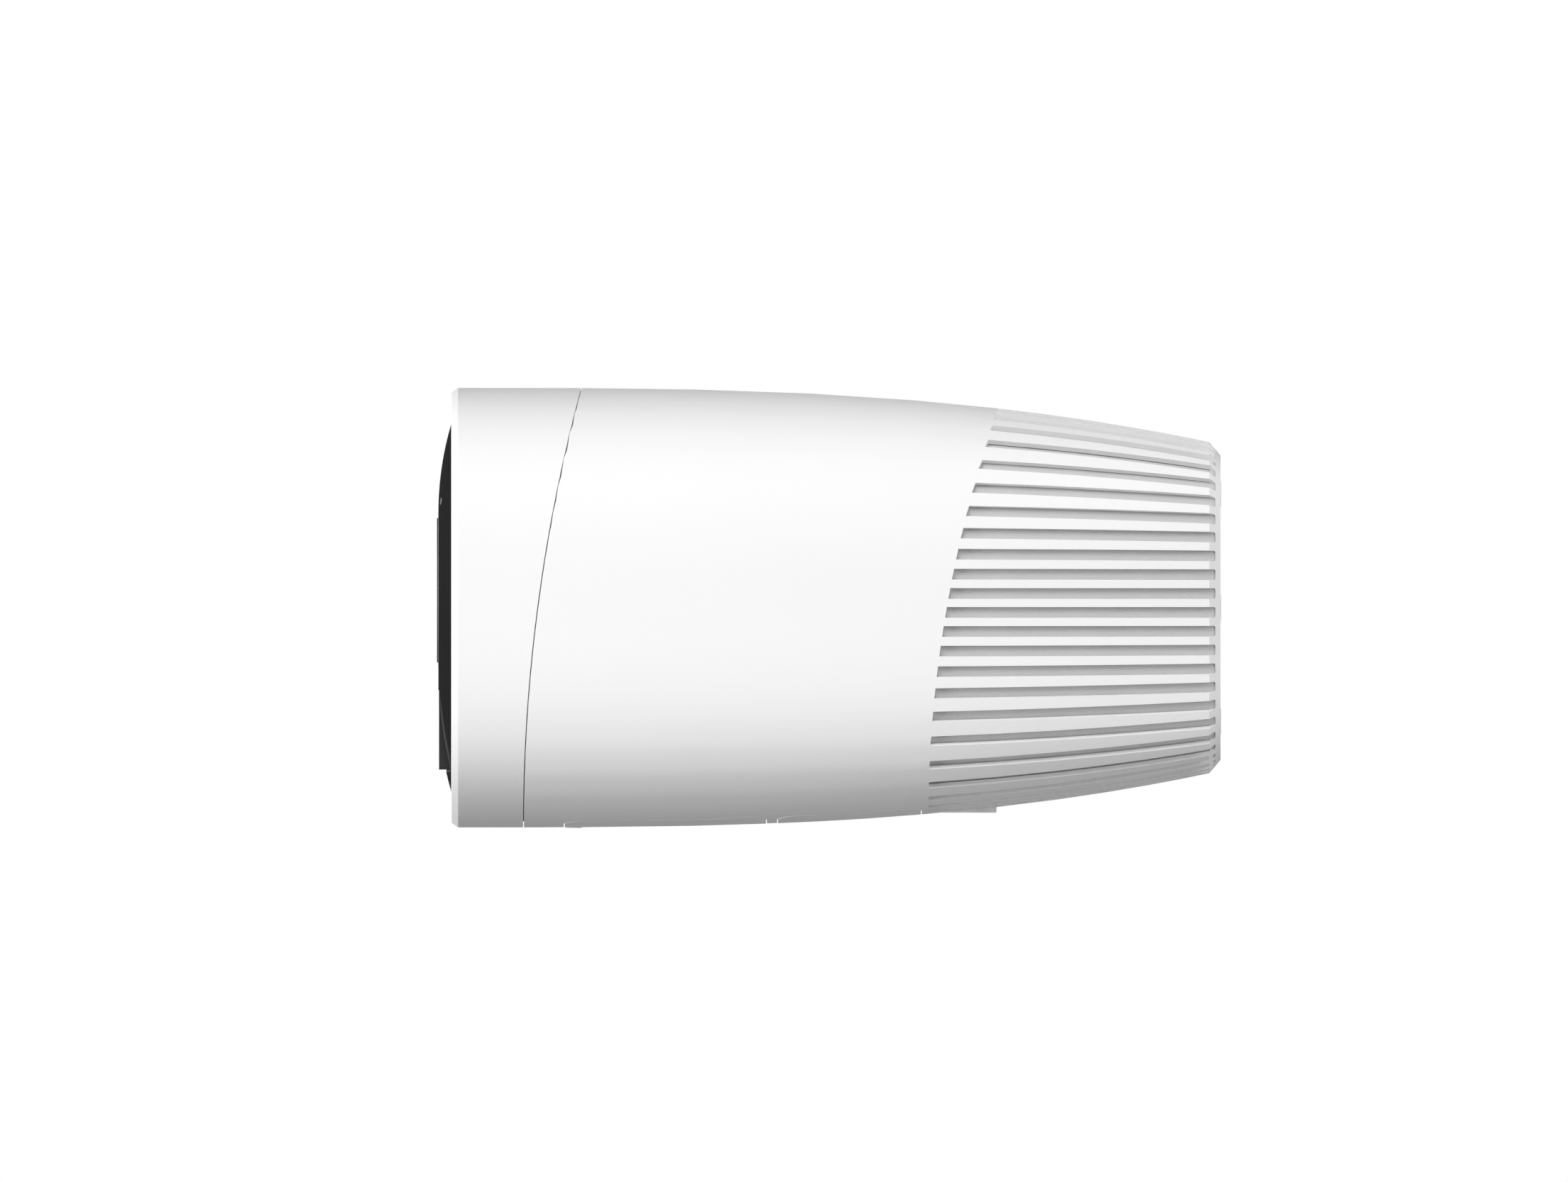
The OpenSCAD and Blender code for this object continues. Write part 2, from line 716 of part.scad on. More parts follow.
module motor_bracket() {
    vane_z = motor_z + 6;
    color([0.75, 0.75, 0.77]) {
        tube(motor_r + 3, motor_r + 0.2, motor_z, motor_z + motor_h + bracket_t);
        difference() {
            rod(motor_r + 1, motor_z + motor_h, motor_z + motor_h + bracket_t);
            for (a = [45:90:315])
                rotate([0, 0, a])
                    translate([motor_screw_r, 0, 0])
                        rod(1.6, motor_z, motor_z + motor_h + 3);
        }
        for (a = [0:360 / 7:359])
            rotate([0, 0, a])
                translate([motor_r + 2, -1.2, vane_z])
                    cube([housing_r - housing_t - motor_r - 2.2, 2.4, 24]);
    }
}

module motor_screws() {
    color("silver")
        for (a = [45:90:315])
            rotate([0, 0, a])
                translate([motor_screw_r, 0, motor_z + motor_h + bracket_t])
                    screw(2.8, 1.5, 7);
}

module fan_motor() {
    color([0.55, 0.56, 0.58])
        difference() {
            union() {
                rod(motor_r, motor_z + 4, motor_z + motor_h);
                rod(motor_r * 0.55, motor_z, motor_z + 4 + eps);
            }
            rod(shaft_d / 2 + run_fit, motor_z - 1, motor_z + motor_h - 5);
            for (a = [45:90:315])
                rotate([0, 0, a])
                    translate([motor_screw_r, 0, 0])
                        rod(1.5, motor_z + motor_h - 6, motor_z + motor_h + 1);
        }
}

shaft_low = back_plate_z - 22;

module motor_shaft() {
    color("silver")
        rod(shaft_d / 2, shaft_low, motor_z + motor_h - 6);
}

blade_arc_r = 0.62 * fan_r;

// One backward-curved blade: part of a thin ring whose centre lies off the axis.
module blade() {
    intersection() {
        translate([0.62 * fan_r, 0.5 * fan_r])
            difference() {
                circle(blade_arc_r);
                circle(blade_arc_r - 2);
            }
        difference() {
            circle(fan_r - 0.5);
            circle(0.7 * fan_r);
        }
        translate([0, -fan_r])
            square([2 * fan_r, 1.2 * fan_r]);
    }
}

module impeller() {
    color([0.2, 0.22, 0.25]) {
        tube(fan_r, mouth_r + 4, fan_z, fan_z + 2 + eps);
        for (i = [0:blade_count - 1])
            rotate([0, 0, 360 * i / blade_count])
                translate([0, 0, fan_z + 2])
                    linear_extrude(blade_h)
                        blade();
        tube(fan_r, shaft_d / 2, back_plate_z - eps, back_plate_z + 2.5);
        tube(shaft_d / 2 + 8, shaft_d / 2, shaft_low + 8, back_plate_z);
    }
}

module impeller_nut() {
    color("silver")
        translate([0, 0, shaft_low + 3])
            difference() {
                cylinder(r = shaft_d * 0.95, h = 5, $fn = 6);
                translate([0, 0, -1])
                    cylinder(r = shaft_d / 2, h = 7);
            }
}

// ---- Base cover and filter ----

module base_cover() {
    color([0.9, 0.9, 0.9]) {
        difference() {
            rod(foot_hole_d / 2 - 0.6, cover_z, cover_z + cover_t);
            rod(cup_r, 0, cover_z + cover_t + 1);
        }
        tube(cup_r + 2.5, cup_r, cover_z + cover_t - eps, cover_z + cup_h);
        rod(cup_r + 2.5, cover_z + cup_h - eps, cover_z + cup_h + 2.5);
        translate([-cup_r - 1, -5, cover_z])
            cube([2 * cup_r + 2, 10, cup_h]);
        for (a = [0:90:270])
            rotate([0, 0, a + lug_angle])
                translate([foot_hole_d / 2 - 9, -lug_w / 2, slot_bottom_h + 0.3])
                    cube([12.2, lug_w, 1.9]);
    }
}

module foot_pads() {
    color([0.7, 0.7, 0.7])
        for (a = [0:90:270])
            rotate([0, 0, a])
                translate([pad_circle_r, 0, 0])
                    cylinder(r = 7, h = cover_z);
}

module filter_bottom_cap() {
    color([0.3, 0.5, 0.7])
        tube(filter_r, filter_bore_r - 4, filter_z, filter_z + cap_t);
}

module filter_core() {
    z0 = filter_z + cap_t;
    z1 = filter_top - cap_t;
    color([0.93, 0.93, 0.93])
        difference() {
            tube(filter_bore_r, filter_bore_r - 1.5, z0, z1);
            for (z = [z0 + 12:24:z1 - 12], a = [0:45:135])
                translate([0, 0, z])
                    rotate([0, 0, a])
                        cube([2 * filter_bore_r + 2, 8, 12], center = true);
        }
}

pleat_count = 90;

module filter_media() {
    z0 = filter_z + cap_t;
    outer = filter_r - 1.5;
    inner = filter_bore_r + 0.3;
    color([0.96, 0.96, 0.94])
        translate([0, 0, z0])
            linear_extrude(filter_top - cap_t - z0)
                difference() {
                    polygon([for (i = [0:2 * pleat_count - 1])
                        (i % 2 == 0 ? outer : outer - 5) * [cos(180 * i / pleat_count), sin(180 * i / pleat_count)]]);
                    circle(inner);
                }
}

module filter_top_cap() {
    color([0.3, 0.5, 0.7])
        tube(filter_r, filter_bore_r - 4, filter_top - cap_t, filter_top);
}

module filter_gasket() {
    color([0.2, 0.2, 0.2])
        tube(mouth_r + 16, mouth_r + 2, filter_top, bulkhead_h);
}

module filter_pull_tab() {
    color([0.85, 0.35, 0.2]) {
        translate([filter_bore_r - 5.5, -6, filter_z - 0.8])
            cube([22, 12, 0.8]);
        translate([filter_bore_r - 5.5, -6, filter_z - 0.8])
            cube([0.8, 12, cap_t + 4]);
    }
}

module at_casing_screws(z) {
    for (a = [45:90:315])
        rotate([0, 0, a])
            translate([hole_r - 3.2, 0, z])
                children();
}

// Screws that hold the fan housing's flange up against the top ring's ledge.
module casing_screws() {
    color("silver")
        at_casing_screws(housing_top - 2.5)
            rotate([180, 0, 0])
                screw(3, 1.5, 4);
}

main_body();
top_ring();
outlet_grille();
hood_base();
rear_hood();
light_ring();
light_sensor();
control_disc();
disc_springs();
control_board();
service_door();
door_latch();
latch_spring();
electronics_tray();
power_board();
board_screws();
sensor_cover();
sensor_module();
power_inlet();
inlet_socket();
inlet_pins();
prefilter_sleeve();
bulkhead();
intake_guard();
fan_housing();
motor_bracket();
motor_screws();
fan_motor();
motor_shaft();
impeller();
impeller_nut();
base_cover();
foot_pads();
filter_bottom_cap();
filter_core();
filter_media();
filter_top_cap();
filter_gasket();
filter_pull_tab();
casing_screws();
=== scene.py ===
import json
import logging
import math
from collections.abc import Callable
from dataclasses import dataclass, field
from enum import Enum

import bpy
from mathutils import Matrix, Vector

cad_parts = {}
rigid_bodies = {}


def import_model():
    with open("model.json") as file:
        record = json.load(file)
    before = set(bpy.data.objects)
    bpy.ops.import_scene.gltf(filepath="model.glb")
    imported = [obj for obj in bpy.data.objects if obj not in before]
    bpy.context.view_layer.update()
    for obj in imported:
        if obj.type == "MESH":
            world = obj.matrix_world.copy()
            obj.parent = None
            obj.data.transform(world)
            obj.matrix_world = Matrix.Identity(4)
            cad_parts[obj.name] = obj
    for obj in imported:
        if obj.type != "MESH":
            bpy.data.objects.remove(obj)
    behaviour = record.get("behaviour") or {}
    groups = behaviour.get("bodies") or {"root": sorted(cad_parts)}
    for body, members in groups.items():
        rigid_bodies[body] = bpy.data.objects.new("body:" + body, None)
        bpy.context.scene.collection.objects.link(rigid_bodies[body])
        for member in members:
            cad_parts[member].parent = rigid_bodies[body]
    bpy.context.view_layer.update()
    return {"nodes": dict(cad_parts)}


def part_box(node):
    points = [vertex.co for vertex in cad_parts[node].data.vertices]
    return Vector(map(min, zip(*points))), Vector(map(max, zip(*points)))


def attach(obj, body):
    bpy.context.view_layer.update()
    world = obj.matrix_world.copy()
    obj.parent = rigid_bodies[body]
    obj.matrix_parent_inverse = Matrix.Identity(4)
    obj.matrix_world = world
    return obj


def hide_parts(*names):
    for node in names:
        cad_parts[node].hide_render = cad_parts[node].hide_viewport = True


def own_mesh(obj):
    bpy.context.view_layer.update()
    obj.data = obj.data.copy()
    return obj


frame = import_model()

LOG = logging.getLogger("air_purifier")
MM = 0.001
FLATNESS = 0.6  # degrees: the frame's faces that turn by less than this become one
MERGE_DISTANCE = 0.000004  # metres: the frame's points closer than this are one
SMOOTH_MARGIN = 8  # degrees: shading stays smooth over edges up to this much sharper than the rounded ones
ALONG = 0.9  # a face looks along an axis where its unit normal has more than this of it
Colour = tuple[float, float, float]


class Body(Enum):
    """The moving and fixed bodies that pieces ride on."""

    CASING = "casing"
    FAN_WHEEL = "fan_wheel"
    DISC = "disc"
    LATCH = "latch"
    DOOR = "door"
    SENSOR_LID = "sensor_lid"
    BASE = "base"


class Slot(Enum):
    """The finishes of the object, by the names of the record's material slots."""

    WHITE_SHELL = "white_shell"
    GLOSS_BLACK = "gloss_black"
    MATTE_CHARCOAL = "matte_charcoal"
    DIFFUSER = "diffuser"
    LENS = "lens"
    STEEL = "steel"
    CIRCUIT_BOARD = "circuit_board"
    GREY_PLASTIC = "grey_plastic"
    DARK_PLASTIC = "dark_plastic"
    MESH_LINING = "mesh_lining"
    MOTOR_CAN = "motor_can"
    RUBBER = "rubber"
    FILTER_CAP = "filter_cap"
    FILTER_PAPER = "filter_paper"
    PULL_TAB = "pull_tab"


class Axis(Enum):
    """The axes of the frame, as unit vectors."""

    X = (1.0, 0.0, 0.0)
    Y = (0.0, 1.0, 0.0)
    Z = (0.0, 0.0, 1.0)


LAID_BACK = Matrix.Rotation(-math.pi / 2, 4, Axis.X.name)  # lays an upright piece along Y


# ---- Effects shared by several finishes ----


class Effect:
    """A shader node group that is built once and placed in each finish that uses it.

    Attributes:
        tree: The node group.
        entry: Its input node.
        exit: Its output node.
    """

    def __init__(self, name: str, inputs: dict[str, float], outputs: tuple[str, ...]) -> None:
        """Makes an empty group with its sockets.

        Args:
            name: Name of the group.
            inputs: Names of its number sockets, with their usual values.
            outputs: Names of its value outputs.
        """
        self.tree = bpy.data.node_groups.new(name, "ShaderNodeTree")
        for label, usual in inputs.items():
            socket = self.tree.interface.new_socket(label, in_out="INPUT", socket_type="NodeSocketFloat")
            socket.default_value = usual
        for label in outputs:
            self.tree.interface.new_socket(label, in_out="OUTPUT", socket_type="NodeSocketFloat")
        self.entry = self.tree.nodes.new("NodeGroupInput")
        self.exit = self.tree.nodes.new("NodeGroupOutput")

    def node(self, kind: str, **settings: object) -> bpy.types.Node:
        """Adds a node to the group.

        Args:
            kind: Blender's name for the kind of node.
            settings: Its properties by name.

        Returns:
            The new node.
        """
        made = self.tree.nodes.new(kind)
        for label, value in settings.items():
            setattr(made, label, value)
        return made

    def link(self, source: bpy.types.NodeSocket, target: bpy.types.NodeSocket) -> None:
        """Joins two sockets."""
        self.tree.links.new(source, target)

    def math(self, operation: str, first: object, second: object = None) -> bpy.types.NodeSocket:
        """Adds a sum between sockets or numbers.

        Args:
            operation: Blender's name for the sum.
            first: Socket or number.
            second: Socket or number, where the sum takes two.

        Returns:
            The result's socket.
        """
        made = self.node("ShaderNodeMath", operation=operation)
        for socket, value in zip(made.inputs, (first, second)):
            if isinstance(value, bpy.types.NodeSocket):
                self.link(value, socket)
            elif value is not None:
                socket.default_value = value
        return made.outputs[0]

    def weighed(self, masks: tuple[bpy.types.NodeSocket, ...]) -> None:
        """Multiplies masks with the group's own Amount and puts the result out as its Mask.

        Args:
            masks: Sockets that run from 0 to 1.
        """
        total = masks[0]
        for factor in (*masks[1:], self.entry.outputs["Amount"]):
            total = self.math("MULTIPLY", total, factor)
        self.link(total, self.exit.inputs["Mask"])

    def place(self) -> bpy.types.NodeSocket:
        """Gives the point on the piece, in metres."""
        return self.node("ShaderNodeTexCoord").outputs["Object"]

    def noise(
        self, scale: object, detail: float, stretch: tuple[float, float, float] = (1.0, 1.0, 1.0)
    ) -> bpy.types.NodeSocket:
        """Adds a noise pattern on the piece's own coordinates.

        Args:
            scale: Socket or number, in features a metre.
            detail: Number of finer layers.
            stretch: How many times finer the pattern is along each axis.

        Returns:
            The pattern's value socket, from 0 to 1.
        """
        mapping = self.node("ShaderNodeMapping")
        mapping.inputs["Scale"].default_value = stretch
        self.link(self.place(), mapping.inputs["Vector"])
        pattern = self.node("ShaderNodeTexNoise")
        pattern.inputs["Detail"].default_value = detail
        self.link(mapping.outputs[0], pattern.inputs["Vector"])
        if isinstance(scale, bpy.types.NodeSocket):
            self.link(scale, pattern.inputs["Scale"])
        else:
            pattern.inputs["Scale"].default_value = scale
        return pattern.outputs["Fac"]

    def wave(self, length: bpy.types.NodeSocket) -> bpy.types.NodeSocket:
        """Makes a sine wave along a length, one whole wave to each Pitch of the group.

        Args:
            length: The length's socket, in metres.

        Returns:
            The wave's socket, from -1 to 1.
        """
        turns_made = self.math("DIVIDE", length, self.entry.outputs["Pitch"])
        return self.math("SINE", self.math("MULTIPLY", turns_made, math.tau))

    def ramp(self, value: bpy.types.NodeSocket, low: float, high: float) -> bpy.types.NodeSocket:
        """Maps a value onto the range from 0 to 1, and holds it there.

        Args:
            value: The value's socket.
            low: The value that becomes 0.
            high: The value that becomes 1.

        Returns:
            The result's socket.
        """
        made = self.node("ShaderNodeMapRange")
        made.inputs["From Min"].default_value = low
        made.inputs["From Max"].default_value = high
        self.link(value, made.inputs["Value"])
        return made.outputs[0]


def mould_grain() -> Effect:
    """Makes the fine stipple that a textured mould leaves on plastic.

    Returns:
        The effect, with a Height.
    """
    effect = Effect("mould_grain", {"Scale": 2600.0, "Ripple": 60.0}, ("Height",))
    stipple_share, ripple_share = 0.7, 0.3
    stipple = effect.noise(effect.entry.outputs["Scale"], 2.0)
    ripple = effect.noise(effect.entry.outputs["Ripple"], 1.0)
    parts = (effect.math("MULTIPLY", stipple, stipple_share), effect.math("MULTIPLY", ripple, ripple_share))
    effect.link(effect.math("ADD", *parts), effect.exit.inputs["Height"])
    return effect


def tone_drift() -> Effect:
    """Makes the slow drift in tone and polish that one moulding shows from place to place.

    Returns:
        The effect, with a Tone and a Polish.
    """
    effect = Effect("tone_drift", {"Scale": 9.0}, ("Tone", "Polish"))
    polish_scale = 3.7  # how many times finer the polish drifts than the tone
    tone = effect.noise(effect.entry.outputs["Scale"], 3.0)
    polish = effect.noise(effect.math("MULTIPLY", effect.entry.outputs["Scale"], polish_scale), 4.0)
    effect.link(effect.ramp(tone, 0.3, 0.7), effect.exit.inputs["Tone"])
    effect.link(effect.ramp(polish, 0.3, 0.7), effect.exit.inputs["Polish"])
    return effect


def settled_dust() -> Effect:
    """Makes the thin dust that lies on what faces upwards.

    Returns:
        The effect, with a Mask.
    """
    effect = Effect("settled_dust", {"Amount": 0.1}, ("Mask",))
    normal = effect.node("ShaderNodeNewGeometry").outputs["Normal"]
    split = effect.node("ShaderNodeSeparateXYZ")
    effect.link(normal, split.inputs[0])
    facing_up = effect.ramp(split.outputs["Z"], 0.35, 0.95)
    speck = effect.ramp(effect.noise(420.0, 4.0), 0.42, 0.68)
    effect.weighed((facing_up, speck))
    return effect


def edge_rub() -> Effect:
    """Makes the paler, smoother line along outer edges: partly wear from handling, partly a painted
    highlight.

    Returns:
        The effect, with a Mask.
    """
    effect = Effect("edge_rub", {"Amount": 0.3}, ("Mask",))
    sharp = effect.node("ShaderNodeNewGeometry").outputs["Pointiness"]
    # convex edges by pointiness: edge wear and a painted highlight
    edge = effect.ramp(sharp, 0.54, 0.64)
    patchy = effect.ramp(effect.noise(170.0, 3.0), 0.35, 0.75)
    effect.weighed((edge, patchy))
    return effect


def fine_scratches() -> Effect:
    """Makes hairline marks in two directions, as wiping leaves on polished faces.

    Returns:
        The effect, with a Mask.
    """
    effect = Effect("fine_scratches", {"Amount": 0.2}, ("Mask",))
    one = effect.ramp(effect.noise(90.0, 2.0, (1.0, 22.0, 4.0)), 0.66, 0.72)
    two = effect.ramp(effect.noise(70.0, 2.0, (18.0, 1.4, 4.0)), 0.67, 0.73)
    effect.weighed((effect.math("MAXIMUM", one, two),))
    return effect


def turning_marks() -> Effect:
    """Makes the fine rings that turning or rolling leaves on metal.

    Returns:
        The effect, with a Height.
    """
    effect = Effect("turning_marks", {"Scale": 900.0}, ("Height",))
    rings = effect.noise(effect.entry.outputs["Scale"], 2.0, (0.06, 0.06, 1.0))
    effect.link(rings, effect.exit.inputs["Height"])
    return effect


def round_weave() -> Effect:
    """Makes a plain weave that wraps round the upright axis.

    Returns:
        The effect, with a Height and with a Mask that is 1 on the threads and 0 in the hollows between
        them, where finishes paint shade.
    """
    effect = Effect("round_weave", {"Pitch": 0.0011, "Radius": 0.1}, ("Height", "Mask"))
    split = effect.node("ShaderNodeSeparateXYZ")
    effect.link(effect.place(), split.inputs[0])
    turn = effect.math("ARCTAN2", split.outputs["Y"], split.outputs["X"])
    along = effect.math("MULTIPLY", turn, effect.entry.outputs["Radius"])
    waves = [effect.wave(length) for length in (along, split.outputs["Z"])]
    over = effect.math("MULTIPLY", *waves)
    thread = effect.math("MAXIMUM", *(effect.math("ABSOLUTE", wave) for wave in waves))
    height = effect.math("ADD", effect.math("MULTIPLY", over, 0.5), thread)
    effect.link(height, effect.exit.inputs["Height"])
    effect.link(effect.ramp(thread, 0.45, 0.85), effect.exit.inputs["Mask"])
    return effect


def flat_weave() -> Effect:
    """Makes a ribbed ribbon weave along the piece's own X and Y, and up its sides.

    Returns:
        The effect, with a Height and with a Mask that is 1 on the threads and 0 in the hollows between
        them, where finishes paint shade.
    """
    effect = Effect("flat_weave", {"Pitch": 0.0008}, ("Height", "Mask"))
    split = effect.node("ShaderNodeSeparateXYZ")
    effect.link(effect.place(), split.inputs[0])
    lengths = (effect.math("ADD", split.outputs[label], split.outputs["Z"]) for label in ("X", "Y"))
    height = effect.math("MAXIMUM", *(effect.wave(length) for length in lengths))
    effect.link(height, effect.exit.inputs["Height"])
    effect.link(effect.ramp(height, -0.2, 0.8), effect.exit.inputs["Mask"])
    return effect


# ---- Finishes ----


COAT_ROUGHNESS = 0.06
POLISH_RANGE = (0.93, 1.07)  # shares of its roughness between which a surface drifts
DUST_TINT = (0.62, 0.6, 0.57)
DUST_ROUGHNESS, RUBBED_ROUGHNESS, SCRATCHED_ROUGHNESS = 0.85, 0.3, 0.45
MIX_NUMBER_INPUTS, MIX_NUMBER_OUTPUT = (2, 3), 0  # places of a Mix node's sockets for numbers
MIX_COLOUR_INPUTS, MIX_COLOUR_OUTPUT = (6, 7), 2  # and for colours


@dataclass(frozen=True)
class Finish:
    """One material of the object, with its shader and the effects that give it its detail.

    Attributes:
        slot: The record's slot that the finish belongs to.
        colour: Main colour, linear.
        roughness: Roughness of the clean surface.
        metallic: 1 for bare metal, 0 for everything else.
        drift: Share by which the tone wanders.
        dust: Amount of settled dust.
        rub_and_highlight: Amount of the paler outer edges: edge wear and a painted highlight.
        scratches: Amount of hairline marks.
        grain: Depth of the surface relief, in metres.
        grain_scale: Features of the relief in a metre.
        coat: Weight of a clear glossy coat.
        sheen: Weight of the soft sheen of cloth and paper.
        specular: Strength of the plain reflection.
        pattern: Name of the effect that gives the relief.
        thread_gap_shade: Darker colour between the threads, where the pattern is a weave: painted shade in
            the weave's hollows.
    """

    slot: Slot
    colour: Colour
    roughness: float = 0.5
    metallic: float = 0.0
    drift: float = 0.03
    dust: float = 0.0
    rub_and_highlight: float = 0.0
    scratches: float = 0.0
    grain: float = 0.00002
    grain_scale: float = 2600.0
    coat: float = 0.0
    sheen: float = 0.0
    specular: float = 0.5
    pattern: str = "mould_grain"
    thread_gap_shade: Colour | None = None

    def build(self, effects: dict[str, Effect]) -> bpy.types.Material:
        """Makes the material.

        Args:
            effects: The shared effects by name.

        Returns:
            The finished material.
        """
        material = bpy.data.materials.new(f"finish_{self.slot.value}")
        material.use_nodes = True
        tree = material.node_tree
        shader = tree.nodes["Principled BSDF"]
        shader.inputs["Metallic"].default_value = self.metallic
        shader.inputs["Coat Weight"].default_value = self.coat
        shader.inputs["Coat Roughness"].default_value = COAT_ROUGHNESS
        shader.inputs["Sheen Weight"].default_value = self.sheen
        shader.inputs["Specular IOR Level"].default_value = self.specular
        colour, roughness = self._tone(tree, effects)
        layers = (
            ("settled_dust", self.dust, DUST_TINT, DUST_ROUGHNESS),
            # paler outer edges: edge wear and a painted highlight
            ("edge_rub", self.rub_and_highlight, self._paler(1.6, 0.06), RUBBED_ROUGHNESS),
            ("fine_scratches", self.scratches, self._paler(1.25, 0.01), SCRATCHED_ROUGHNESS),
        )
        for name, amount, tint, polish in layers:
            if amount:
                mask = self._use(tree, effects[name], "Mask", Amount=amount)
                colour = self._mix(tree, mask, colour, tint)
                roughness = self._blend(tree, mask, roughness, polish)
        height = self._relief(tree, effects)
        # darker between the threads: painted shade in the hollows of the weave
        if self.thread_gap_shade:
            mask = self._use(tree, effects[self.pattern], "Mask")
            colour = self._mix(tree, mask, self.thread_gap_shade, colour)
        bump = tree.nodes.new("ShaderNodeBump")
        bump.inputs["Distance"].default_value = self.grain
        tree.links.new(height, bump.inputs["Height"])
        tree.links.new(bump.outputs[0], shader.inputs["Normal"])
        tree.links.new(colour, shader.inputs["Base Color"])
        tree.links.new(roughness, shader.inputs["Roughness"])
        self.adjust(tree, shader)
        return material

    def adjust(self, tree: bpy.types.NodeTree, shader: bpy.types.Node) -> None:
        """Sets what only this kind of finish has; the plain kind has nothing more."""

    def _paler(self, times: float, plus: float) -> Colour:
        """Gives the main colour times a factor and plus a little, held below 1."""
        return tuple(min(1.0, channel * times + plus) for channel in self.colour)

    def _use(
        self, tree: bpy.types.NodeTree, effect: Effect, output: str, **values: float
    ) -> bpy.types.NodeSocket:
        """Places an effect in the material.

        Args:
            tree: The material's nodes.
            effect: The effect.
            output: Name of the output that is wanted.
            values: The effect's own values by name.

        Returns:
            The output's socket.
        """
        made = tree.nodes.new("ShaderNodeGroup")
        made.node_tree = effect.tree
        for label, value in values.items():
            made.inputs[label].default_value = value
        return made.outputs[output]

    def _tone(
        self, tree: bpy.types.NodeTree, effects: dict[str, Effect]
    ) -> tuple[bpy.types.NodeSocket, bpy.types.NodeSocket]:
        """Makes the drifting tone and polish of the clean surface.

        Args:
            tree: The material's nodes.
            effects: The shared effects by name.

        Returns:
            The sockets of the colour and of the roughness.
        """
        drift = effects["tone_drift"]
        tone = self._use(tree, drift, "Tone")
        polish = self._use(tree, drift, "Polish")
        darker = tuple(channel * (1 - self.drift) for channel in self.colour)
        colour = self._mix(tree, tone, darker, self.colour)
        span = tree.nodes.new("ShaderNodeMapRange")
        span.inputs["To Min"].default_value = self.roughness * POLISH_RANGE[0]
        span.inputs["To Max"].default_value = min(1.0, self.roughness * POLISH_RANGE[1])
        tree.links.new(polish, span.inputs["Value"])
        return colour, span.outputs[0]

    def _relief(self, tree: bpy.types.NodeTree, effects: dict[str, Effect]) -> bpy.types.NodeSocket:
        """Gives the height of the surface's relief."""
        values = {} if self.thread_gap_shade else {"Scale": self.grain_scale}
        return self._use(tree, effects[self.pattern], "Height", **values)

    def _mix(
        self, tree: bpy.types.NodeTree, mask: bpy.types.NodeSocket, under: object, over: object
    ) -> bpy.types.NodeSocket:
        """Mixes two colours by a mask.

        Args:
            tree: The material's nodes.
            mask: The mask's socket.
            under: Socket or plain colour where the mask is 0.
            over: Socket or plain colour where the mask is 1.

        Returns:
            The mixed colour's socket.
        """
        made = tree.nodes.new("ShaderNodeMix")
        made.data_type = "RGBA"
        tree.links.new(mask, made.inputs["Factor"])
        for socket, value in zip(MIX_COLOUR_INPUTS, (under, over)):
            if isinstance(value, bpy.types.NodeSocket):
                tree.links.new(value, made.inputs[socket])
            else:
                made.inputs[socket].default_value = (*value, 1.0)
        return made.outputs[MIX_COLOUR_OUTPUT]

    def _blend(
        self, tree: bpy.types.NodeTree, mask: bpy.types.NodeSocket, under: bpy.types.NodeSocket, over: float
    ) -> bpy.types.NodeSocket:
        """Moves a number towards another by a mask.

        Args:
            tree: The material's nodes.
            mask: The mask's socket.
            under: The number's socket.
            over: The number where the mask is 1.

        Returns:
            The result's socket.
        """
        made = tree.nodes.new("ShaderNodeMix")
        first, second = (made.inputs[socket] for socket in MIX_NUMBER_INPUTS)
        tree.links.new(mask, made.inputs["Factor"])
        tree.links.new(under, first)
        second.default_value = over
        return made.outputs[MIX_NUMBER_OUTPUT]


@dataclass(frozen=True)
class ClearFinish(Finish):
    """A finish that light passes into, such as a diffuser or a lens.

    Attributes:
        depth: Weight of the light that passes through.
        reach: How far the light spreads under the surface, in metres.
    """

    depth: float = 0.2
    reach: float = 0.002

    def adjust(self, tree: bpy.types.NodeTree, shader: bpy.types.Node) -> None:
        """Lets light into the surface.

        Args:
            tree: The material's nodes.
            shader: Its shader.
        """
        shader.inputs["Subsurface Weight"].default_value = self.depth
        shader.inputs["Subsurface Radius"].default_value = (self.reach,) * 3
        shader.inputs["Subsurface Scale"].default_value = 1.0
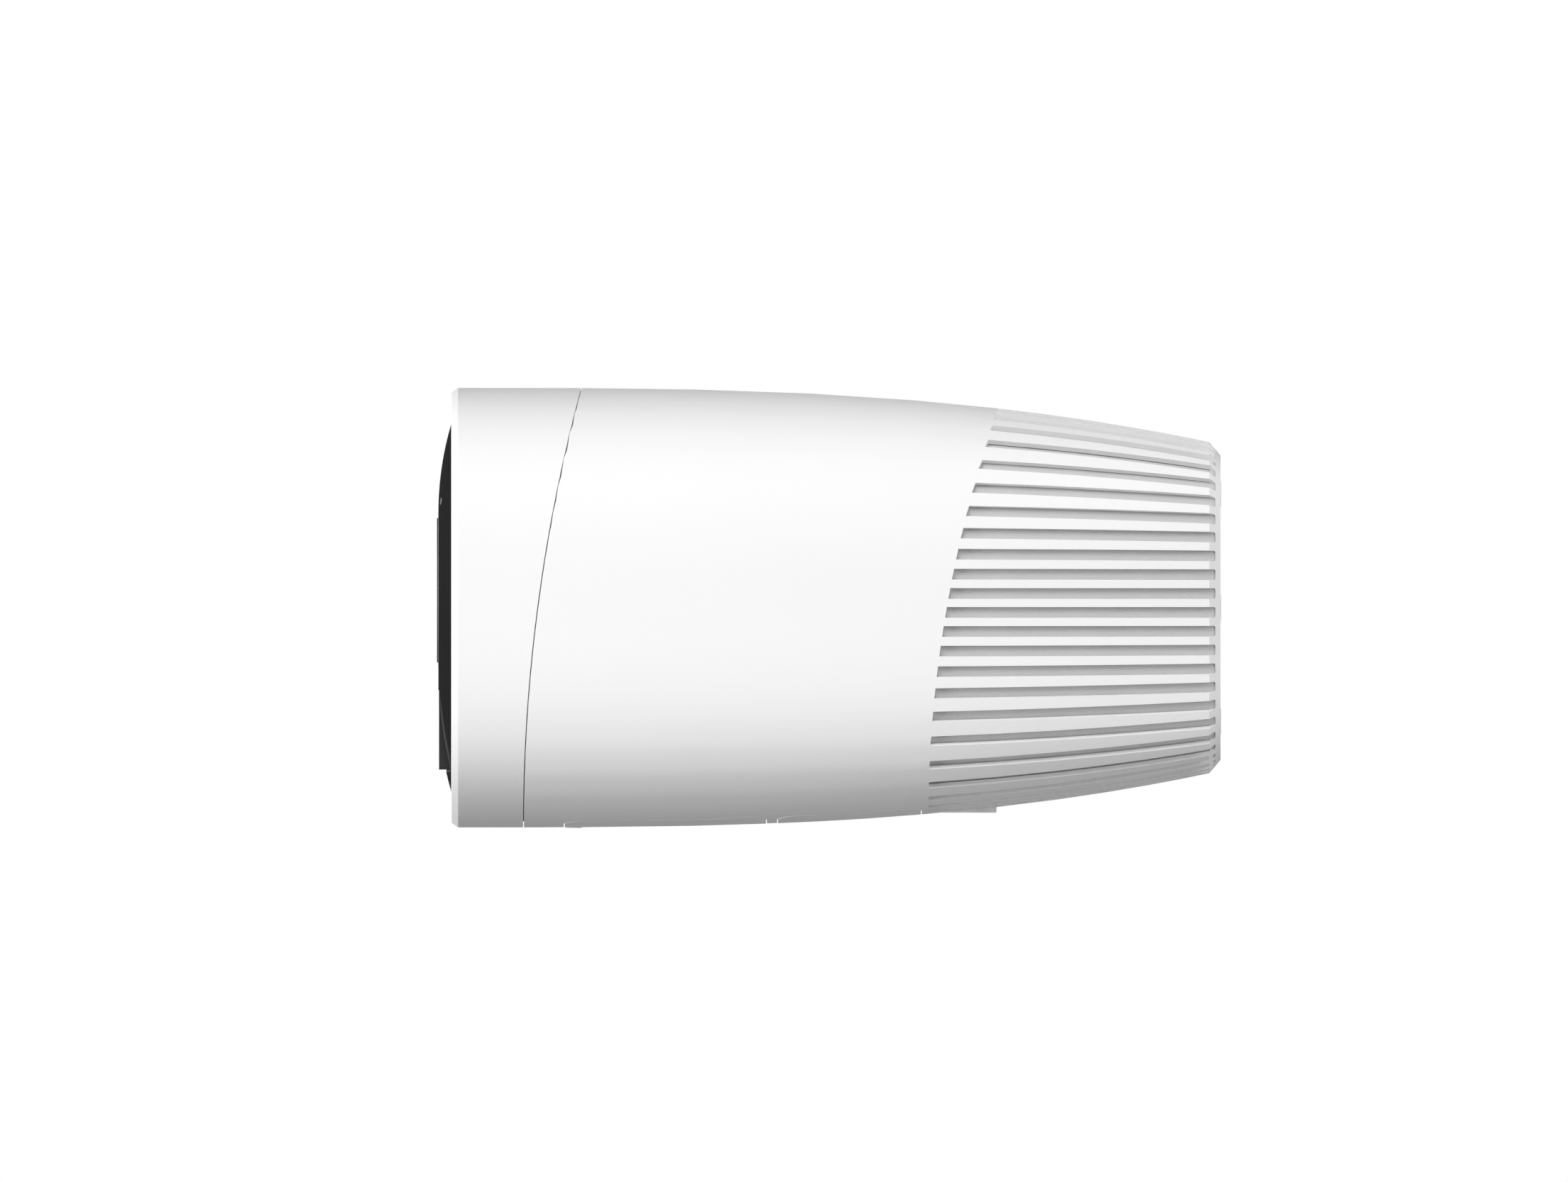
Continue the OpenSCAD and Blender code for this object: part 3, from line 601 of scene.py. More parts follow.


# rub gives paler outer edges: edge wear and a painted highlight
FINISHES = (
    Finish(Slot.WHITE_SHELL, (0.9, 0.9, 0.9), 0.48, drift=0.008, dust=0.015, grain=0.000012, specular=0.35),
    Finish(Slot.GLOSS_BLACK, (0.014, 0.014, 0.015), 0.14, drift=0.1, dust=0.004, scratches=0.1,
           grain=0.0000015, grain_scale=160.0, coat=0.5),
    Finish(Slot.MATTE_CHARCOAL, (0.03, 0.03, 0.031), 0.5, drift=0.06, dust=0.012, rub_and_highlight=0.15,
           grain=0.000012, grain_scale=1800.0, specular=0.35),
    ClearFinish(Slot.DIFFUSER, (0.72, 0.75, 0.77), 0.4, drift=0.02, grain=0.00001, depth=0.25),
    ClearFinish(Slot.LENS, (0.42, 0.43, 0.45), 0.08, drift=0.05, grain=0.000002, coat=0.8, depth=0.1),
    Finish(Slot.STEEL, (0.6, 0.61, 0.63), 0.27, 1.0, drift=0.06, rub_and_highlight=0.2, grain=0.00001,
           pattern="turning_marks", grain_scale=2400.0),
    Finish(Slot.CIRCUIT_BOARD, (0.012, 0.13, 0.05), 0.3, drift=0.12, grain=0.00002,
           grain_scale=700.0, coat=0.3),
    Finish(Slot.GREY_PLASTIC, (0.52, 0.52, 0.53), 0.55, drift=0.02, dust=0.06, rub_and_highlight=0.1, grain=0.00003),
    Finish(Slot.DARK_PLASTIC, (0.028, 0.028, 0.031), 0.42, drift=0.08, dust=0.08, rub_and_highlight=0.2, grain=0.00003),
    # the lining is darker between its threads: painted shade in the weave's hollows
    Finish(Slot.MESH_LINING, (0.6, 0.6, 0.6), 0.8, drift=0.03, grain=0.00005, sheen=0.15,
           pattern="round_weave", thread_gap_shade=(0.5, 0.5, 0.5)),
    Finish(Slot.MOTOR_CAN, (0.5, 0.51, 0.53), 0.34, 1.0, drift=0.05, rub_and_highlight=0.2, grain=0.00002,
           pattern="turning_marks", grain_scale=1500.0),
    Finish(Slot.RUBBER, (0.62, 0.62, 0.61), 0.78, drift=0.1, dust=0.1, grain=0.00006, grain_scale=1600.0,
           specular=0.3),
    Finish(Slot.FILTER_CAP, (0.06, 0.2, 0.4), 0.45, drift=0.04, dust=0.04, rub_and_highlight=0.1, grain=0.00002),
    Finish(Slot.FILTER_PAPER, (0.82, 0.81, 0.77), 0.9, drift=0.05, dust=0.12, grain=0.00012,
           grain_scale=1100.0, sheen=0.1),
    # the ribbon is darker between its threads: painted shade in the weave's hollows
    Finish(Slot.PULL_TAB, (0.62, 0.13, 0.04), 0.75, drift=0.05, grain=0.00012, sheen=0.3,
           pattern="flat_weave", thread_gap_shade=(0.3, 0.05, 0.02)),
)


class Paints:
    """All the finishes, built once.

    Attributes:
        by_slot: The material of each slot.
    """

    def __init__(self) -> None:
        """Builds the shared effects, then every finish."""
        makers = (mould_grain, tone_drift, settled_dust, edge_rub, fine_scratches, turning_marks,
                  round_weave, flat_weave)
        effects = {maker.__name__: maker() for maker in makers}
        self.by_slot = {finish.slot: finish.build(effects) for finish in FINISHES}

    def dress(self, piece: bpy.types.Object, slot: Slot) -> None:
        """Gives a piece one finish all over.

        Args:
            piece: The piece.
            slot: The finish.
        """
        piece.data.materials.clear()
        piece.data.materials.append(self.by_slot[slot])


# ---- Tools of the bench ----


def select_only(piece: bpy.types.Object) -> None:
    """Makes a piece the only one selected, and the active one.

    Args:
        piece: The piece.
    """
    for other in bpy.context.view_layer.objects:
        other.select_set(other == piece)
    bpy.context.view_layer.objects.active = piece


def apply_modifier(piece: bpy.types.Object, kind: str, **settings: object) -> None:
    """Adds a modifier and applies it at once.

    Args:
        piece: The piece.
        kind: Blender's name for the kind of modifier.
        settings: Its properties by name.
    """
    select_only(piece)
    modifier = piece.modifiers.new(kind.lower(), kind)
    for label, value in settings.items():
        setattr(modifier, label, value)
    bpy.ops.object.modifier_apply(modifier=modifier.name)


def settle(piece: bpy.types.Object) -> None:
    """Moves a piece's place from its object into its mesh."""
    select_only(piece)
    bpy.ops.object.transform_apply(location=True, rotation=True, scale=True)


def edit(piece: bpy.types.Object) -> None:
    """Opens a piece's mesh for editing, with all of it selected.

    Args:
        piece: The piece.
    """
    select_only(piece)
    bpy.ops.object.mode_set(mode="EDIT")
    bpy.ops.mesh.select_all(action="SELECT")


def leave_edit() -> None:
    """Goes back to whole pieces."""
    bpy.ops.object.mode_set(mode="OBJECT")


def merged_copy(node: str, name: str, flatness: float = FLATNESS) -> bpy.types.Object:
    """Copies a frame node's mesh as one joined skin.

    Args:
        node: Name of the frame's node.
        name: Name of the new piece.
        flatness: Faces that turn by less than this many degrees become one, 0 for none.

    Returns:
        The new piece, at rest in the frame.
    """
    source = frame["nodes"][node]
    piece = bpy.data.objects.new(name, source.data.copy())
    bpy.context.scene.collection.objects.link(piece)
    edit(piece)
    bpy.ops.mesh.remove_doubles(threshold=MERGE_DISTANCE)
    bpy.ops.mesh.customdata_custom_splitnormals_clear()
    if flatness:
        bpy.ops.mesh.dissolve_limited(angle_limit=math.radians(flatness))
    leave_edit()
    return piece


def soften(piece: bpy.types.Object, radius: float, steps: int = 2, corner: float = 32.0) -> None:
    """Rounds a piece's sharp edges and shades it smoothly.

    Args:
        piece: The piece.
        radius: Radius of the rounding, in metres, 0 for none.
        steps: Faces across each rounding.
        corner: Edges that turn by more than this many degrees are rounded.
    """
    if radius:
        apply_modifier(piece, "BEVEL", width=radius, segments=steps, limit_method="ANGLE",
                       angle_limit=math.radians(corner), miter_outer="MITER_ARC")
    select_only(piece)
    bpy.ops.object.shade_smooth_by_angle(angle=math.radians(corner + SMOOTH_MARGIN))
    apply_modifier(piece, "WEIGHTED_NORMAL", keep_sharp=True)


@dataclass(frozen=True)
class Recipe:
    """How one frame node is turned into its finished piece.

    Attributes:
        node: The frame's node.
        name: The finished piece's name.
        body: The body that it rides on.
        slot: Its finish.
        radius: Rounding of its edges, in metres.
        steps: Faces across each rounding.
        corner: Smallest turn in degrees that counts as an edge.
    """

    node: str
    name: str
    body: Body
    slot: Slot
    radius: float = 0.0003
    steps: int = 2
    corner: float = 32.0

    def make(self, paints: Paints) -> bpy.types.Object:
        """Makes the piece, and puts it in its node's place.

        Args:
            paints: The built finishes.

        Returns:
            The finished piece.
        """
        piece = merged_copy(self.node, self.name)
        soften(piece, self.radius, self.steps, self.corner)
        return place(piece, self.body, self.slot, paints, self.node)


def place(
    piece: bpy.types.Object, body: Body, slot: Slot, paints: Paints, *nodes: str
) -> bpy.types.Object:
    """Dresses a piece, hangs it on its body and lets it stand for its nodes.

    Args:
        piece: The piece.
        body: The body that it rides on.
        slot: Its finish.
        paints: The built finishes.
        nodes: Frame nodes that it stands for.

    Returns:
        The same piece.
    """
    paints.dress(piece, slot)
    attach(piece, body.value)
    if nodes:
        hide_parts(*nodes)
    LOG.info("%s rides on %s, %d faces", piece.name, body.value, len(piece.data.polygons))
    return piece


def upright_rod(
    name: str, radius: float, low: float, high: float, at: tuple[float, float] = (0.0, 0.0), sides: int = 64
) -> bpy.types.Object:
    """Adds an upright cylinder, to be shaped further.

    Args:
        name: Name of the piece.
        radius: Its radius, in metres.
        low: Height of its lower end.
        high: Height of its upper end.
        at: Place of its middle in X and Y.
        sides: Number of its flats.

    Returns:
        The cylinder.
    """
    bpy.ops.mesh.primitive_cylinder_add(vertices=sides, radius=radius, depth=high - low,
                                        location=(*at, (low + high) / 2))
    piece = bpy.context.object
    piece.name = name
    settle(piece)
    return piece


def block(name: str, low: Vector, high: Vector) -> bpy.types.Object:
    """Adds a box, to be shaped further.

    Args:
        name: Name of the piece.
        low: Its lowest corner, in metres.
        high: Its highest corner.

    Returns:
        The box.
    """
    bpy.ops.mesh.primitive_cube_add(size=1, location=(low + high) / 2, scale=high - low)
    piece = bpy.context.object
    piece.name = name
    settle(piece)
    return piece


def facing(axis: Axis, way: int = 1) -> Callable[[Vector, Vector], bool]:
    """Makes the test for faces that look along an axis, or against it.

    Args:
        axis: The axis.
        way: 1 for along it, -1 for against it.

    Returns:
        The test of a face's centre and normal.
    """
    return lambda centre, normal: way * normal.dot(Vector(axis.value)) > ALONG


def pick_faces(piece: bpy.types.Object, wanted: Callable[[Vector, Vector], bool]) -> None:
    """Selects the faces for which wanted(centre, normal) is true, and opens the mesh for editing.

    Args:
        piece: The piece.
        wanted: Test of a face's centre and normal.
    """
    select_only(piece)
    mesh = piece.data
    for group in (mesh.vertices, mesh.edges, mesh.polygons):
        group.foreach_set("select", [False] * len(group))
    for face in mesh.polygons:
        face.select = bool(wanted(face.center, face.normal))
    bpy.ops.object.mode_set(mode="EDIT")
    bpy.ops.mesh.select_mode(type="FACE")


def pick_edges(piece: bpy.types.Object, wanted: Callable[[bpy.types.MeshEdge], bool]) -> None:
    """Selects the edges for which wanted(edge) is true, and opens the mesh for editing.

    Args:
        piece: The piece.
        wanted: Test of an edge.
    """
    select_only(piece)
    mesh = piece.data
    chosen = [wanted(edge) for edge in mesh.edges]
    for group in (mesh.vertices, mesh.edges, mesh.polygons):
        group.foreach_set("select", [False] * len(group))
    for edge, keep in zip(mesh.edges, chosen):
        edge.select = keep
        for end in edge.vertices:
            mesh.vertices[end].select = mesh.vertices[end].select or keep
    bpy.ops.object.mode_set(mode="EDIT")
    bpy.ops.mesh.select_mode(type="EDGE")


def join(name: str, parts: list[bpy.types.Object]) -> bpy.types.Object:
    """Joins parts into one piece.

    Args:
        name: Name of the piece.
        parts: The parts, each with its place in its own mesh.

    Returns:
        The first part, which now holds them all.
    """
    select_only(parts[0])
    for part in parts[1:]:
        part.select_set(True)
    bpy.ops.object.join()
    parts[0].name = name
    return parts[0]


def copies(piece: bpy.types.Object, moves: list[Matrix]) -> list[bpy.types.Object]:
    """Copies a piece to several places and removes the pattern.

    Args:
        piece: The pattern.
        moves: A matrix for each copy.

    Returns:
        The copies, each with its own mesh.
    """
    made = []
    for move in moves:
        twin = piece.copy()
        twin.data = piece.data.copy()
        twin.data.transform(move)
        bpy.context.scene.collection.objects.link(twin)
        made.append(twin)
    bpy.data.objects.remove(piece)
    return made


def turns(count: int, first: float = 0.0, centre: Vector = Vector()) -> list[Matrix]:
    """Gives equal turns about an upright line.

    Args:
        count: Number of turns that make a whole round.
        first: The first turn, in radians.
        centre: A point on the line.

    Returns:
        A matrix for each turn.
    """
    there, back = Matrix.Translation(centre), Matrix.Translation(-centre)
    angles = (first + math.tau * step / count for step in range(count))
    return [there @ Matrix.Rotation(angle, 4, Axis.Z.name) @ back for angle in angles]


def coil(name: str, radius: float, wire: float, low: float, high: float, rounds: int) -> bpy.types.Object:
    """Winds an upright coil spring about the Z axis.

    Args:
        name: Name of the piece.
        radius: Radius to the middle of the wire, in metres.
        wire: Radius of the wire, in metres.
        low: Height of its lower end.
        high: Height of its upper end.
        rounds: Number of turns.

    Returns:
        The spring, closed at both ends of its wire.
    """
    wire_sides, steps_a_round, smooth_up_to = 10, 28, 50
    bpy.ops.mesh.primitive_circle_add(vertices=wire_sides, radius=wire, location=(radius, 0, low + wire),
                                      rotation=(math.pi / 2, 0, 0))
    piece = bpy.context.object
    piece.name = name
    settle(piece)
    apply_modifier(piece, "SCREW", angle=math.tau, screw_offset=(high - low - 2 * wire) / rounds,
                   iterations=rounds, steps=steps_a_round, render_steps=steps_a_round,
                   use_merge_vertices=False)
    edit(piece)
    bpy.ops.mesh.fill_holes(sides=0)
    bpy.ops.mesh.select_all(action="SELECT")
    bpy.ops.mesh.normals_make_consistent(inside=False)
    leave_edit()
    select_only(piece)
    bpy.ops.object.shade_smooth_by_angle(angle=math.radians(smooth_up_to))
    return piece


# ---- Sub-assemblies ----


class SlotCorners:
    """Finds the shell's edges that matter when the slots' lower corners are rounded.

    Attributes:
        mesh: The shell's mesh.
        floor: Height of the slots' lower ends, in metres.
        normals: The normals on the sides of every edge.
        points: The numbers of the points at the corners' ends.
    """

    NEAR = 0.05 * MM  # how far a corner's points may be from the floor's height
    STRAY = 0.3 * MM  # how far sideways an upright edge may run
    RADIAL = 0.7  # least share of a corner's direction that points away from the middle
    SIDE_RISE, FLOOR_RISE = 0.3, 0.9  # upward share in the normals: a slot's side has less, its floor more
    CHAMFER_RISE = -0.5  # the chamfer under the ribs has less than this
    NEARLY_FLAT = math.cos(math.radians(25))  # faces whose normals agree more than this are nearly flat

    def __init__(self, mesh: bpy.types.Mesh, floor: float) -> None:
        """Starts with the mesh as it is.

        Args:
            mesh: The shell's mesh.
            floor: Height of the slots' lower ends, in metres.
        """
        self.mesh = mesh
        self.floor = floor
        self.read()

    def read(self) -> None:
        """Reads the mesh again, after it was changed."""
        self.normals: dict[tuple[int, int], list[Vector]] = {}
        for face in self.mesh.polygons:
            for key in face.edge_keys:
                self.normals.setdefault(key, []).append(face.normal.copy())
        corners = (edge for edge in self.mesh.edges if self.is_corner(edge))
        self.points = {index for edge in corners for index in edge.vertices}

    def is_corner(self, edge: bpy.types.MeshEdge) -> bool:
        """Tells whether an edge runs between a slot's side and its floor.

        Args:
            edge: The edge.

        Returns:
            True if it does.
        """
        start, end = (self.mesh.vertices[index].co for index in edge.vertices)
        if max(abs(start.z - self.floor), abs(end.z - self.floor)) > self.NEAR:
            return False
        if abs((end - start).normalized().dot(start.xy.to_3d().normalized())) < self.RADIAL:
            return False
        rises = sorted(abs(normal.z) for normal in self.normals.get(edge.key, ()))
        return len(rises) == 2 and rises[0] < self.SIDE_RISE and rises[1] > self.FLOOR_RISE

    def is_upright(self, edge: bpy.types.MeshEdge) -> bool:
        """Tells whether an edge runs straight up the foot's chamfer, clear of the slots' corners.

        Args:
            edge: The edge.

        Returns:
            True if it does.
        """
        start, end = (self.mesh.vertices[index].co for index in edge.vertices)
        across = start.xy.orthogonal().normalized().dot(end.xy - start.xy)
        rise = max((normal.z for normal in self.normals.get(edge.key, ())), default=1.0)
        return (
            rise < self.CHAMFER_RISE
            and abs(start.z - end.z) > MM
            and abs(across) < self.STRAY
            and not self.points.intersection(edge.vertices)
        )

    def is_loose(self, edge: bpy.types.MeshEdge) -> bool:
        """Tells whether a nearly flat edge meets a slot's corner, where it would pull the rounding askew.

        Args:
            edge: The edge.

        Returns:
            True if it does.
        """
        sides = self.normals.get(edge.key, ())
        flat = len(sides) == 2 and sides[0].dot(sides[1]) > self.NEARLY_FLAT
        return flat and bool(self.points.intersection(edge.vertices))


@dataclass
class Casing:
    """The white shell: slotted body, top ring and the pale lining behind the slots.

    Attributes:
        slot_edge: Rounding of the slots' edges, in metres.
        slot_edge_turn: Smallest turn in degrees that counts as an edge of the slotted body.
        rim_edge: Rounding of the top ring's edges.
        slot_end_radius: Radius of the slots' lower corners.
        slot_end_steps: Faces across each of those corners.
        slot_end_height: Height of the slots' lower ends.
        lining_flare: Distance that the lining's lower edge is brought outwards.
        lining_lift: Height of that edge above the slots' lower ends.
        lining_reach: Thickness of the bottom layer of faces that belong to that edge.
    """

    slot_edge: float = 0.25 * MM
    slot_edge_turn: float = 38.0
    rim_edge: float = 0.4 * MM
    slot_end_radius: float = 2.2 * MM
    slot_end_steps: int = 5
    slot_end_height: float = 3.0 * MM
    lining_flare: float = 3.0 * MM
    lining_lift: float = 0.05 * MM
    lining_reach: float = 0.1 * MM

    def build(self, paints: Paints) -> None:
        """Builds and dresses the shell.

        Args:
            paints: The built finishes.
        """
        shell = merged_copy("main_body", "slotted_shell", 0)
        self._round_slot_ends(shell)
        soften(shell, self.slot_edge, 2, self.slot_edge_turn)
        place(shell, Body.CASING, Slot.WHITE_SHELL, paints, "main_body")
        Recipe("top_ring", "rim_ring", Body.CASING, Slot.WHITE_SHELL, self.rim_edge, 3).make(paints)
        self._lining(paints)

    def _round_slot_ends(self, shell: bpy.types.Object) -> None:
        """Joins the shell's flat faces and rounds the lower corners of every slot.

        The upright edges of the chamfer are kept as seams while flat faces are joined, so that each face
        stays one rib wide. Nearly flat edges that meet a corner are then removed before it is rounded.

        Args:
            shell: The shell, still in the frame's triangles.
        """
        corners = SlotCorners(shell.data, self.slot_end_height)
        pick_edges(shell, corners.is_upright)
        bpy.ops.mesh.mark_seam()
        bpy.ops.mesh.select_all(action="SELECT")
        bpy.ops.mesh.dissolve_limited(angle_limit=math.radians(FLATNESS), delimit={"SEAM"})
        leave_edit()
        corners.read()
        pick_edges(shell, corners.is_loose)
        bpy.ops.mesh.dissolve_edges(use_verts=False, use_face_split=False)
        leave_edit()
        corners.read()
        pick_edges(shell, corners.is_corner)
        bpy.ops.mesh.bevel(offset=self.slot_end_radius, segments=self.slot_end_steps, affect="EDGES",
                           clamp_overlap=True)
        leave_edit()
        LOG.info("%d slot corners rounded", len(corners.points) // 2)

    def _lining(self, paints: Paints) -> None:
        """Models the lining, with its lower edge flared out to meet the slots' lower ends.

        Args:
            paints: The built finishes.
        """
        lining = merged_copy("prefilter_sleeve", "slot_lining", 0)
        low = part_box("prefilter_sleeve")[0]
        pick_faces(lining, lambda centre, normal: centre.z < low.z + self.lining_reach)
        flare = 1 - self.lining_flare / low.y
        bpy.ops.transform.resize(value=(flare, flare, 1), center_override=(0, 0, 0))
        bpy.ops.transform.translate(value=(0, 0, self.slot_end_height + self.lining_lift - low.z))
        leave_edit()
        soften(lining, 0)
        place(lining, Body.CASING, Slot.MESH_LINING, paints, "prefilter_sleeve")


@dataclass
class DomedTop:
    """The dark dome with its outlet slots, its saddle and hood, and the small parts let into it.

    Attributes:
        dome_edge: Rounding of the outlet slots' edges, in metres.
        hood_edge: Rounding of the hood's edges.
    """

    dome_edge: float = 0.2 * MM
    hood_edge: float = 0.5 * MM

    def build(self, paints: Paints) -> None:
        """Builds and dresses the top.

        Args:
            paints: The built finishes.
        """
        for recipe in (
            Recipe("outlet_grille", "dome", Body.CASING, Slot.GLOSS_BLACK, self.dome_edge),
            Recipe("hood_base", "dome_saddle", Body.CASING, Slot.MATTE_CHARCOAL, self.dome_edge),
            Recipe("rear_hood", "dome_hood", Body.CASING, Slot.MATTE_CHARCOAL, self.hood_edge, 3),
            Recipe("light_ring", "glow_ring", Body.CASING, Slot.DIFFUSER, 0.15 * MM),
            Recipe("light_sensor", "dome_lens", Body.CASING, Slot.LENS, 0.15 * MM),
        ):
            recipe.make(paints)


@dataclass
class PressDisc:
    """The round control disc, its coil springs and the board under it.

    Attributes:
        edge: Rounding of the disc's rim, in metres.
        thickness: Thickness of the disc.
        dish_inset: Width of the disc's flat border.
        dish_slope: Width of the slope inside the border.
        dish_depth: Depth of the shallow dish inside the slope.
        dish_middle: Width of the ring inside the dish, as a share of the disc's radius.
        stem_radius: Radius of the stem under the disc.
        stem_wall: Thickness of the stem's wall.
        stem_hollow: Depth of the hollow in the stem's end.
        spring_circle: Radius of the circle that the springs stand on.
        spring_radius: Radius of each spring, to the middle of its wire.
        spring_count: Number of springs.
        spring_keep: Share of a spring's length that is left when the disc is pushed down; not used.
        wire: Radius of the springs' wire.
        rounds: Turns of each spring.
        board_face: Height of the board's upper face above its lowest point.
        led_count: Number of lamps on the board, under the glowing ring.
        led_start: Turn of the first lamp, in radians.
        led_corners: A lamp's two corners before its turn, from the middle of the board's face.
        chip_count: Number of chips on the board.
        chip_start: Turn of the first chip, in radians.
        chip_corners: A chip's two corners before its turn, from the middle of the board's face.
        centre: The middle of the disc's face, found in the frame.
    """

    edge: float = 0.45 * MM
    thickness: float = 2.4 * MM
    dish_inset: float = 3.0 * MM
    dish_slope: float = 1.2 * MM
    dish_depth: float = 0.18 * MM
    dish_middle: float = 0.6
    stem_radius: float = 14.0 * MM
    stem_wall: float = 2.0 * MM
    stem_hollow: float = 2.5 * MM
    spring_circle: float = 24.0 * MM
    spring_radius: float = 2.0 * MM
    spring_count: int = 3
    spring_keep: float = 0.93
    wire: float = 0.3 * MM
    rounds: int = 6
    board_face: float = 3.6 * MM
    led_count: int = 24
    led_start: float = 0.05
    led_corners: tuple[Vector, Vector] = (Vector((31.2, -0.8, 0)) * MM, Vector((32.8, 0.8, 0.6)) * MM)
    chip_count: int = 3
    chip_start: float = math.pi / 3
    chip_corners: tuple[Vector, Vector] = (Vector((15.5, -3, 0)) * MM, Vector((20.5, 3, 1.0)) * MM)
    centre: Vector = field(init=False)

    def __post_init__(self) -> None:
        """Finds the disc's middle in the frame."""
        low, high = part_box("control_disc")
        self.centre = Vector(((low.x + high.x) / 2, (low.y + high.y) / 2, high.z))

    def build(self, paints: Paints) -> None:
        """Builds and dresses the disc and what is under it.

        Args:
            paints: The built finishes.
        """
        self._disc(paints)
        self._springs(paints)
        self._board(paints)

    def _disc(self, paints: Paints) -> None:
        """Models the disc with a dished face and a central stem.

        Args:
            paints: The built finishes.
        """
        low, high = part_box("control_disc")
        radius = (high.x - low.x) / 2
        underside = high.z - self.thickness
        disc = upright_rod("press_disc", radius, underside, high.z, self.centre.xy, 160)
        pick_faces(disc, facing(Axis.Z))
        bpy.ops.mesh.inset(thickness=self.dish_inset)
        bpy.ops.mesh.inset(thickness=self.dish_slope)
        bpy.ops.transform.translate(value=(0, 0, -self.dish_depth))
        bpy.ops.mesh.inset(thickness=radius * self.dish_middle)
        leave_edit()
        soften(disc, self.edge, 4, 60.0)
        stem = upright_rod("disc_stem", self.stem_radius, low.z, underside, self.centre.xy, 96)
        pick_faces(stem, facing(Axis.Z, -1))
        bpy.ops.mesh.inset(thickness=self.stem_wall)
        bpy.ops.mesh.extrude_region_move(TRANSFORM_OT_translate={"value": (0, 0, self.stem_hollow)})
        leave_edit()
        soften(stem, 0.3 * MM)
        place(join("press_disc", [disc, stem]), Body.DISC, Slot.GLOSS_BLACK, paints, "control_disc")

    def _springs(self, paints: Paints) -> None:
        """Winds the springs that lift the disc.

        Args:
            paints: The built finishes.
        """
        low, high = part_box("disc_springs")
        spring = coil("disc_spring", self.spring_radius, self.wire, low.z, high.z, self.rounds)
        spring.data.transform(Matrix.Translation((self.spring_circle, 0, 0)))
        springs = self._round_about("disc_coils", spring, self.spring_count, 0.0)
        place(springs, Body.CASING, Slot.STEEL, paints, "disc_springs")
        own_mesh(springs)

    def _board(self, paints: Paints) -> None:
        """Models the round board with its lamps and chips.

        Args:
            paints: The built finishes.
        """
        Recipe("control_board", "disc_board", Body.CASING, Slot.CIRCUIT_BOARD, 0.1 * MM).make(paints)
        face = Vector((0, 0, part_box("control_board")[0].z + self.board_face))
        lamp = block("lamp", *(face + corner for corner in self.led_corners))
        soften(lamp, 0.15 * MM)
        lamps = self._round_about("board_lamps", lamp, self.led_count, self.led_start)
        place(lamps, Body.CASING, Slot.DIFFUSER, paints)
        chip = block("chip", *(face + corner for corner in self.chip_corners))
        pick_faces(chip, facing(Axis.Z))
        bpy.ops.mesh.inset(thickness=0.3 * MM)
        leave_edit()
        soften(chip, 0.12 * MM)
        chips = self._round_about("board_chips", chip, self.chip_count, self.chip_start)
        place(chips, Body.CASING, Slot.DARK_PLASTIC, paints)

    def _round_about(
        self, name: str, piece: bpy.types.Object, count: int, first: float
    ) -> bpy.types.Object:
        """Repeats a piece evenly round the disc's middle.

        Args:
            name: Name of the finished piece.
            piece: The pattern, placed as if the disc's middle were at the origin.
            count: Number of copies.
            first: Turn of the first copy, in radians.

        Returns:
            The copies, joined.
        """
        middle = Vector((self.centre.x, self.centre.y, 0))
        piece.data.transform(Matrix.Translation(middle))
        return join(name, copies(piece, turns(count, first, middle)))


